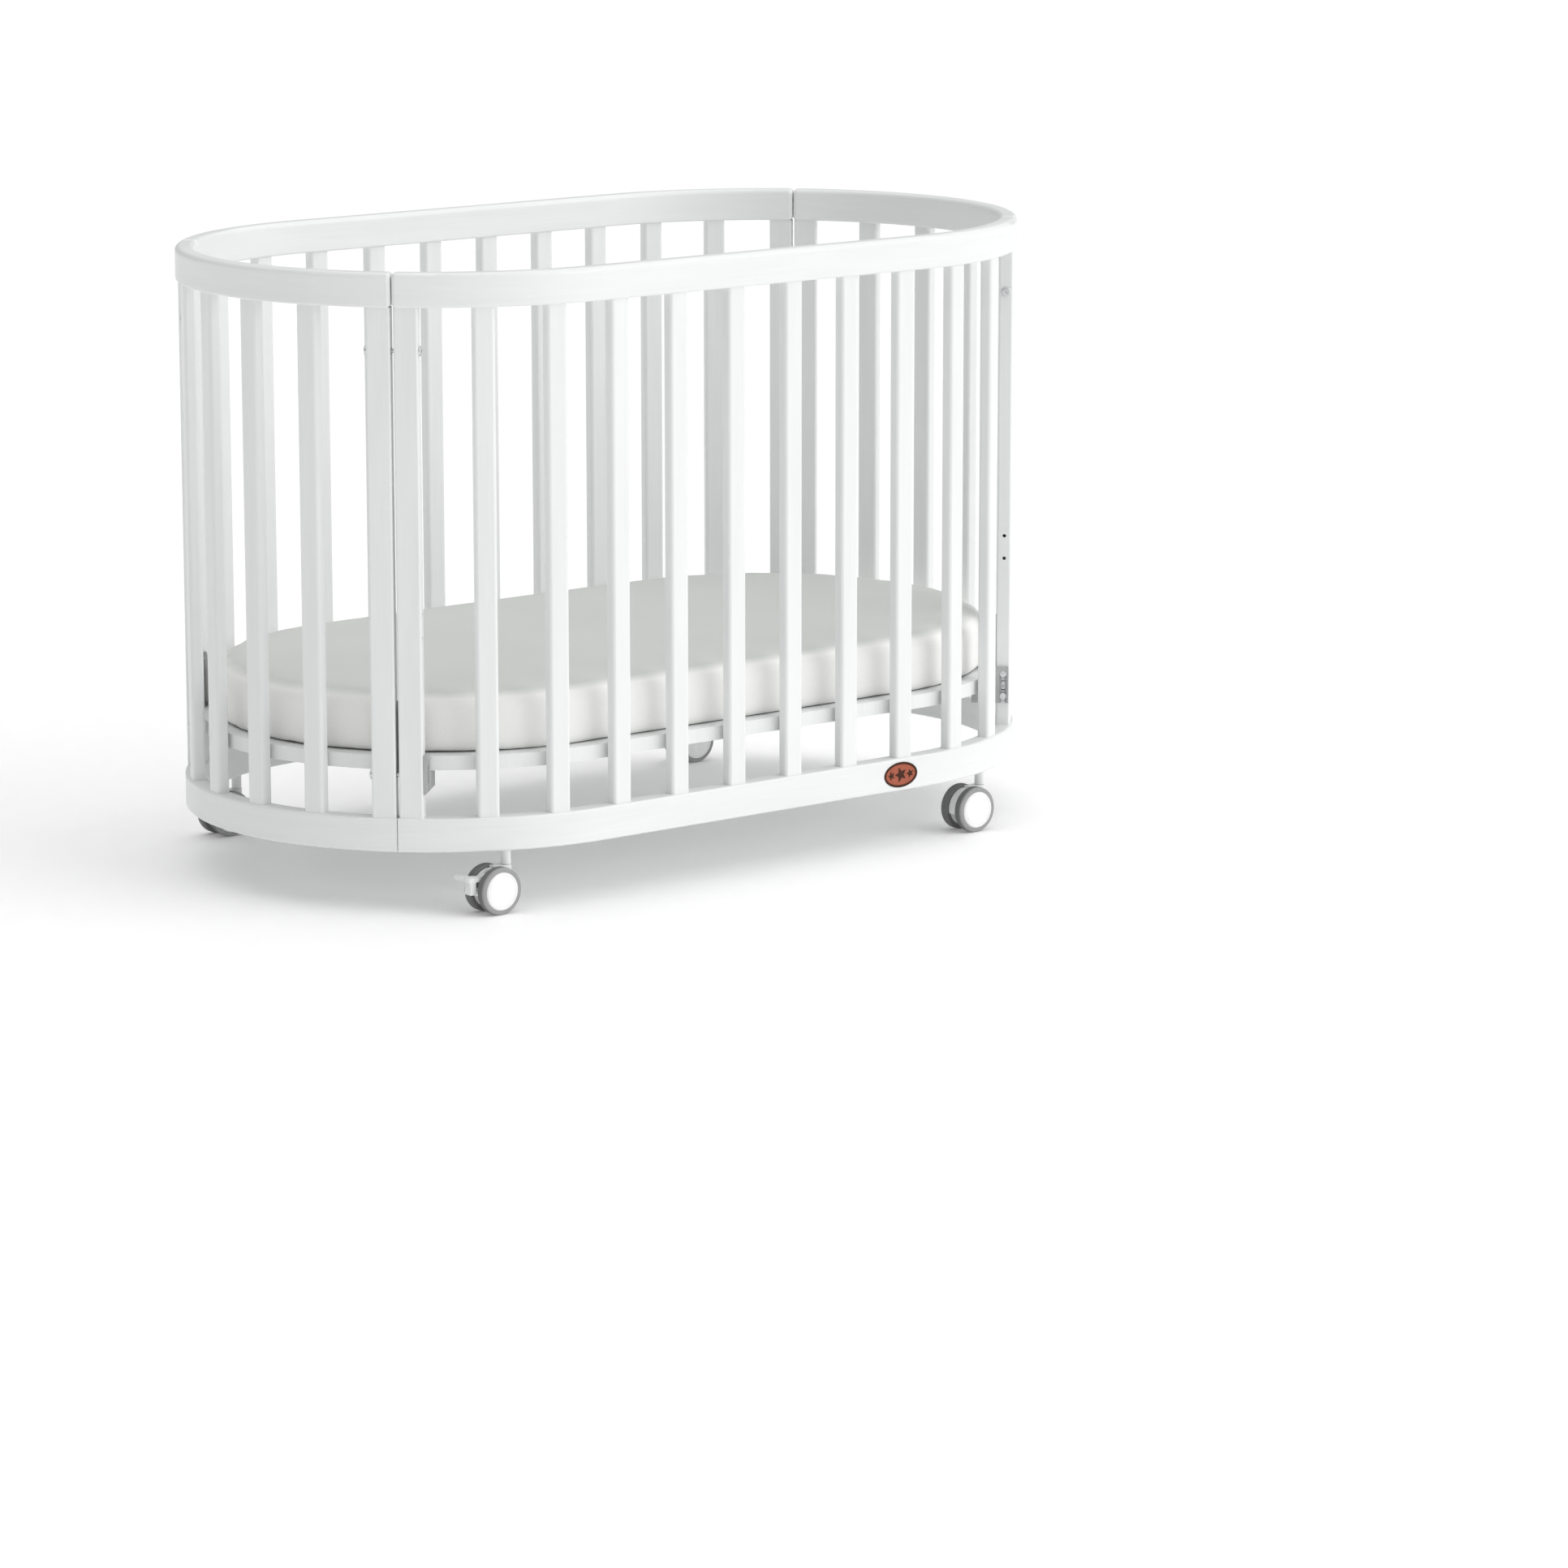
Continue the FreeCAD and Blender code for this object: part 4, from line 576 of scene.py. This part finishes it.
# half sections of a wheel's face: a low dome, a fine groove and a rounded lip
DISC_RADIUS = 0.0246
DISC_PROFILE = (
    (0, 0.0011),
    (0.0120, 0.0010),
    (0.0206, 0.0007),
    (0.0212, 0.0002),
    (0.0220, 0.0002),
    (0.0226, 0.0008),
    (0.0238, 0.0008),
    (DISC_RADIUS, 0.0001),
    (DISC_RADIUS, -0.0005),
    (0, -0.0005),
)
DISC_STEPS = 72


def wheel_discs(corner, material):
    """The glossy outer discs of one caster's two wheels."""
    low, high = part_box(f"caster_{corner}_wheels")
    middle = (low + high) / 2
    shape = bmesh.new()
    for way, face in ((-1, low.y), (1, high.y)):
        place = Matrix.Translation((middle.x, face, middle.z))
        lathe(shape, DISC_PROFILE, DISC_STEPS,
              place @ Matrix.Rotation(-way * math.pi / 2, 4, "X"))
    return make_piece(f"wheel_discs_{corner}", shape, [material], f"wheels_{corner}")


BADGE_STEPS = 96
BADGE_BEVEL_STEPS = 3
# the plate's second material is its field's
FIELD = 1
# each star's place along the badge and its size as a share of the middle one
STARS = ((-0.0170, 0.60), (0, 1), (0.0170, 0.60))
STAR_POINTS = 5
# a star's inner points as a share of its radius, and the rise of its middle
STAR_WAIST = 0.45
STAR_RELIEF = 0.0006
# the stars start this many sinks below the border, half a sink inside the plate
STAR_ROOT = 1.5


def badge_plate(settings, low, high, materials):
    """The oval plate: a rounded border round a sunken field."""
    half = (high - low) / 2
    shape = bmesh.new()
    bmesh.ops.create_circle(shape, cap_ends=True, segments=BADGE_STEPS, radius=1)
    bmesh.ops.scale(shape, verts=shape.verts, vec=(half.x, half.z, 1))
    raised = bmesh.ops.extrude_face_region(shape, geom=list(shape.faces))["geom"]
    lifted = [item for item in raised if isinstance(item, bmesh.types.BMVert)]
    bmesh.ops.translate(shape, verts=lifted, vec=(0, 0, 2 * half.y))
    face = max(shape.faces, key=lambda item: item.calc_center_median().z)
    bmesh.ops.inset_region(shape, faces=[face], thickness=settings.border)
    bmesh.ops.inset_region(shape, faces=[face], thickness=settings.sink / 2,
                           depth=-settings.sink)
    face.material_index = FIELD
    rim = [edge for edge in shape.edges
           if all(abs(point.co.z - 2 * half.y) < MERGE for point in edge.verts)
           and len(edge.link_faces) == 2]
    bmesh.ops.bevel(shape, geom=rim, offset=settings.sink / 2, offset_type="OFFSET",
                    segments=BADGE_BEVEL_STEPS, profile=0.5, affect="EDGES", material=-1)
    bmesh.ops.transform(shape, verts=shape.verts, matrix=badge_place(low, high))
    return make_piece("badge_plate", shape, materials, "frame")


def badge_place(low, high):
    """From a drawing with Z towards the viewer to the badge's place on the front rail."""
    middle = (low + high) / 2
    return (Matrix.Translation((middle.x, high.y, middle.z))
            @ Matrix.Rotation(math.pi / 2, 4, "X"))


def badge_stars(settings, low, high, material):
    """A row of three plain stars that stand up from the field."""
    shape = bmesh.new()
    base = high.y - low.y - STAR_ROOT * settings.sink
    for across, scale in STARS:
        radius = settings.star * scale
        place = Matrix.Translation((across, 0, base)) @ Matrix.Rotation(math.pi / 2, 4, "Z")
        points = bmesh.ops.create_circle(shape, cap_ends=True, segments=2 * STAR_POINTS,
                                         radius=radius, matrix=place)["verts"]
        centre = Vector((across, 0, base))
        for point in points[1::2]:
            point.co = centre + (point.co - centre) * STAR_WAIST
        face = points[0].link_faces[0]
        raised = bmesh.ops.extrude_face_region(shape, geom=[face])["geom"]
        lifted = [item for item in raised if isinstance(item, bmesh.types.BMVert)]
        bmesh.ops.translate(shape, verts=lifted, vec=(0, 0, settings.sink))
        crown = next(item for item in raised if isinstance(item, bmesh.types.BMFace))
        bmesh.ops.poke(shape, faces=[crown], offset=STAR_RELIEF)
    bmesh.ops.transform(shape, verts=shape.verts, matrix=badge_place(low, high))
    return make_piece("badge_stars", shape, [material], "frame")


# ---------------------------------------------------------------- operators
class CRIB_OT_woodwork(bpy.types.Operator):
    """Lacquer the rails, slats and posts, paint the base and leave the dowels bare."""

    bl_idname = "crib.woodwork"
    bl_label = "Finish the woodwork"

    def execute(self, context):
        settings = context.scene.crib_finish
        gloss = settings.lacquer_gloss
        upright = film_material("Lacquer Upright", settings.lacquer, gloss)
        rail = film_material("Lacquer Rail", settings.lacquer, gloss, follows_oval=True)
        for node in nodes_in_slot("white_lacquer"):
            paint(node, rail if "rail" in node else upright)
        board = film_material("Board Paint", settings.board, 0.5, bump=0.25)
        beech = film_material("Bare Beech", settings.beech, 0.6, bump=0.5, shade=0.7)
        for node in nodes_in_slot("white_board"):
            paint(node, board)
        for node in nodes_in_slot("beech"):
            paint(node, beech)
        return {"FINISHED"}


class CRIB_OT_fittings(bpy.types.Operator):
    """Plate or coat the bolts, screws, pins, brackets, straps and stems."""

    bl_idname = "crib.fittings"
    bl_label = "Finish the fittings"

    def execute(self, context):
        settings = context.scene.crib_finish
        finishes = {
            "zinc_steel": metal_material("Zinc Plate", settings.zinc, 0.34),
            "dark_steel": metal_material("Dark Plate", settings.strap, 0.42),
            "bracket_steel": moulded_material("Bracket Coat", settings.bracket, 0.48),
            "pad_plastic": moulded_material("Pad Plastic", settings.strap_pad, 0.42),
            "white_steel": moulded_material("Stem Coat", settings.plastic, 0.3),
        }
        for slot, material in finishes.items():
            for node in nodes_in_slot(slot):
                paint(node, material)
        return {"FINISHED"}


def tyre_material(settings):
    """Dark rubber with a paler band painted on its outer side as a highlight."""
    material, tree, shader, place = start_material("Tyre Rubber")
    low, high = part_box("caster_back_right_wheels")
    middle = (low.y + high.y) / 2
    half = (high.y - low.y) / 2
    across = maths(tree, "ABSOLUTE", add(tree, "ShaderNodeSeparateXYZ", {0: place}).outputs["Y"])
    offset = maths(tree, "ABSOLUTE", maths(tree, "SUBTRACT", across, middle))
    # a paler band painted near each outer face as a highlight
    highlight_band = spread(tree, offset, 0, 1, (half - HIGHLIGHT_INNER, half - HIGHLIGHT_OUTER))
    effect = use_group(tree, "Moulded Surface", {
        "Vector": place, "Light": mixed(tree, highlight_band, opaque(settings.tread, 1.08),
                                        opaque(settings.tyre_highlight, 1.05)),
        "Shaded": mixed(tree, highlight_band, opaque(settings.tread, 0.88),
                        opaque(settings.tyre_highlight, 0.93)),
        "Grain Size": 1300.0, "Smooth": 0.52, "Rough": 0.68})
    dress(tree, shader, effect, 0.35, 0.0004)
    return material


class CRIB_OT_casters(bpy.types.Operator):
    """Finish the casters and add the discs that cover their wheels."""

    bl_idname = "crib.casters"
    bl_label = "Finish the casters"

    def execute(self, context):
        settings = context.scene.crib_finish
        plastic = moulded_material("Caster Plastic", settings.plastic, 0.28, bump=0.06,
                                   shade=0.97, Coat_Weight=0.3)
        tyre = tyre_material(settings)
        for node in nodes_in_slot("caster_plastic"):
            paint(node, plastic)
        for node in nodes_in_slot("grey_rubber"):
            paint(node, tyre)
        # the discs' colour is lifted above the housings' plastic as painted light
        disc_painted_light = moulded_material("Disc Gloss", settings.disc_painted_light, 0.22, bump=0.03, shade=0.985,
                                Coat_Weight=0.5)
        for corner in CORNERS:
            wheel_discs(corner, disc_painted_light)
        return {"FINISHED"}


def cover_material(settings, top):
    """White cotton painted pale grey on top as shade, fading in over the upper rounding; top is
    the cover's height.
    """
    material, tree, shader, place = start_material("Cover Cotton")
    height = add(tree, "ShaderNodeSeparateXYZ", {0: place}).outputs["Z"]
    # the upper face and the top of its rounding are painted pale grey as shade
    painted_shade = spread(tree, height, 0, 1, (top - settings.top_round / 2, top - SHADED_TOP_DEPTH))
    effect = use_group(tree, "Weave", {
        "Vector": place, "Thread": 0.0011,
        "Light": mixed(tree, painted_shade, opaque(settings.side, 1.01), opaque(settings.top, 1.01)),
        "Shaded": mixed(tree, painted_shade, opaque(settings.side, 0.97), opaque(settings.top, 0.97))})
    dress(tree, shader, effect, 0.25, 0.0004, Sheen_Weight=0.2, Sheen_Roughness=0.5)
    return material


def piping_material(settings):
    """Dark cotton cord."""
    material, tree, shader, place = start_material("Piping Cotton")
    effect = use_group(tree, "Weave", {
        "Vector": place, "Light": opaque(settings.piping, 1.2),
        "Shaded": opaque(settings.piping, 0.8), "Thread": 0.0009})
    dress(tree, shader, effect, 0.4, 0.0003, Sheen_Weight=0.1)
    return material


class CRIB_OT_mattress(bpy.types.Operator):
    """Make the mattress in its fitted cover, with piping along the lower edge."""

    bl_idname = "crib.mattress"
    bl_label = "Make the mattress"

    def execute(self, context):
        settings = context.scene.crib_mattress
        low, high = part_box("mattress")
        radius = (high.y - low.y) / 2
        inset = settings.start_inset
        cloth = cover_material(settings, high.z)
        block = oval_slab(radius - inset, low.z, high.z - inset, settings.top_round,
                          settings.bottom_round)
        cover = make_piece("mattress_cover", block, [cloth], "mattress")
        remesh_evenly(cover, settings.mesh_size)
        cover.data.materials.clear()
        cover.data.materials.append(cloth)
        swell_cover(cover, settings.pressure, settings.swell)
        settle_cover(cover, low.z, high.z, radius)
        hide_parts("mattress")
        cord = piping_material(settings)
        thick = settings.piping_radius
        edge = max(abs(point.co.y) for point in cover.data.vertices
                   if point.co.z < low.z + 2 * thick)
        make_piece("mattress_piping", oval_cord(edge, low.z + thick, thick), [cord],
                   "mattress")
        return {"FINISHED"}


class CRIB_OT_badge(bpy.types.Operator):
    """Make the oval badge with its plain stars."""

    bl_idname = "crib.badge"
    bl_label = "Make the badge"

    def execute(self, context):
        settings = context.scene.crib_badge
        low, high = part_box("badge")
        bronze = metal_material("Badge Bronze", settings.bronze, 0.45)
        copper = metal_material("Badge Copper", settings.copper, 0.42, bump=0.25)
        plate = badge_plate(settings, low, high, [bronze, copper])
        badge_stars(settings, low, high, bronze)
        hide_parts("badge")
        return {"FINISHED"}


def add_sun(name, way, strength, spread_angle):
    """A broad soft lamp that shines from the given direction."""
    lamp = bpy.data.lights.new(name, "SUN")
    lamp.energy = strength
    lamp.angle = spread_angle
    made = bpy.data.objects.new(name, lamp)
    made.rotation_mode = "QUATERNION"
    made.rotation_quaternion = Vector(way).to_track_quat("Z", "Y")
    bpy.context.scene.collection.objects.link(made)


class CRIB_OT_stage(bpy.types.Operator):
    """Set up the floor, the lamps and the camera."""

    bl_idname = "crib.stage"
    bl_label = "Set the stage"

    def execute(self, context):
        scene = context.scene
        settings = scene.crib_studio
        shape = bmesh.new()
        bmesh.ops.create_circle(shape, cap_ends=True, segments=FLOOR_STEPS,
                                radius=settings.floor_radius)
        mesh = bpy.data.meshes.new("floor")
        shape.to_mesh(mesh)
        shape.free()
        floor = bpy.data.objects.new("floor", mesh)
        scene.collection.objects.link(floor)
        paper = moulded_material("Studio Floor", settings.floor, 0.8, grain=40.0, bump=0.02,
                                 shade=0.985, Emission_Color=(1, 1, 1, 1),
                                 Emission_Strength=settings.floor_glow)
        mesh.materials.append(paper)
        world = bpy.data.worlds.new("studio")
        scene.world = world
        world.use_nodes = True
        background = world.node_tree.nodes["Background"]
        background.inputs["Color"].default_value = (1, 1, 1, 1)
        background.inputs["Strength"].default_value = settings.sky
        add_sun("key_lamp", settings.key_way, settings.key, settings.key_spread)
        add_sun("top_lamp", settings.top_way, settings.top, settings.top_spread)
        lens = bpy.data.cameras.new("camera")
        lens.lens = settings.lens
        camera = bpy.data.objects.new("camera", lens)
        camera.location = settings.camera_place
        camera.rotation_euler = (math.pi / 2 - settings.camera_dip, 0, -settings.camera_turn)
        scene.collection.objects.link(camera)
        scene.camera = camera
        scene.view_settings.view_transform = "Standard"
        return {"FINISHED"}


SETTINGS = {
    "crib_finish": CribFinish,
    "crib_mattress": CribMattress,
    "crib_badge": CribBadge,
    "crib_studio": CribStudio,
}
STEPS = (CRIB_OT_woodwork, CRIB_OT_fittings, CRIB_OT_casters, CRIB_OT_mattress, CRIB_OT_badge,
         CRIB_OT_stage)


class CRIB_PT_sidebar(bpy.types.Panel):
    """The crib's steps and settings."""

    bl_idname = "CRIB_PT_sidebar"
    bl_label = "Oval Baby Crib"
    bl_space_type = "VIEW_3D"
    bl_region_type = "UI"
    bl_category = "Crib"

    def draw(self, context):
        for step in STEPS:
            self.layout.operator(step.bl_idname)
        for name, kind in SETTINGS.items():
            box = self.layout.box()
            box.label(text=kind.__doc__)
            for setting in kind.__annotations__:
                box.prop(getattr(context.scene, name), setting)


def register():
    """Make the settings, steps and panel known to Blender."""
    for kind in (*SETTINGS.values(), *STEPS, CRIB_PT_sidebar):
        bpy.utils.register_class(kind)
    for name, kind in SETTINGS.items():
        setattr(bpy.types.Scene, name, PointerProperty(type=kind))


def unregister():
    """Take them away again."""
    for name in SETTINGS:
        delattr(bpy.types.Scene, name)
    for kind in (CRIB_PT_sidebar, *reversed(STEPS), *reversed(SETTINGS.values())):
        bpy.utils.unregister_class(kind)


def main():
    """Finish the crib step by step."""
    register()
    bpy.ops.crib.woodwork()
    bpy.ops.crib.fittings()
    bpy.ops.crib.casters()
    bpy.ops.crib.mattress()
    bpy.ops.crib.badge()
    bpy.ops.crib.stage()


if __name__ == "__main__":
    main()
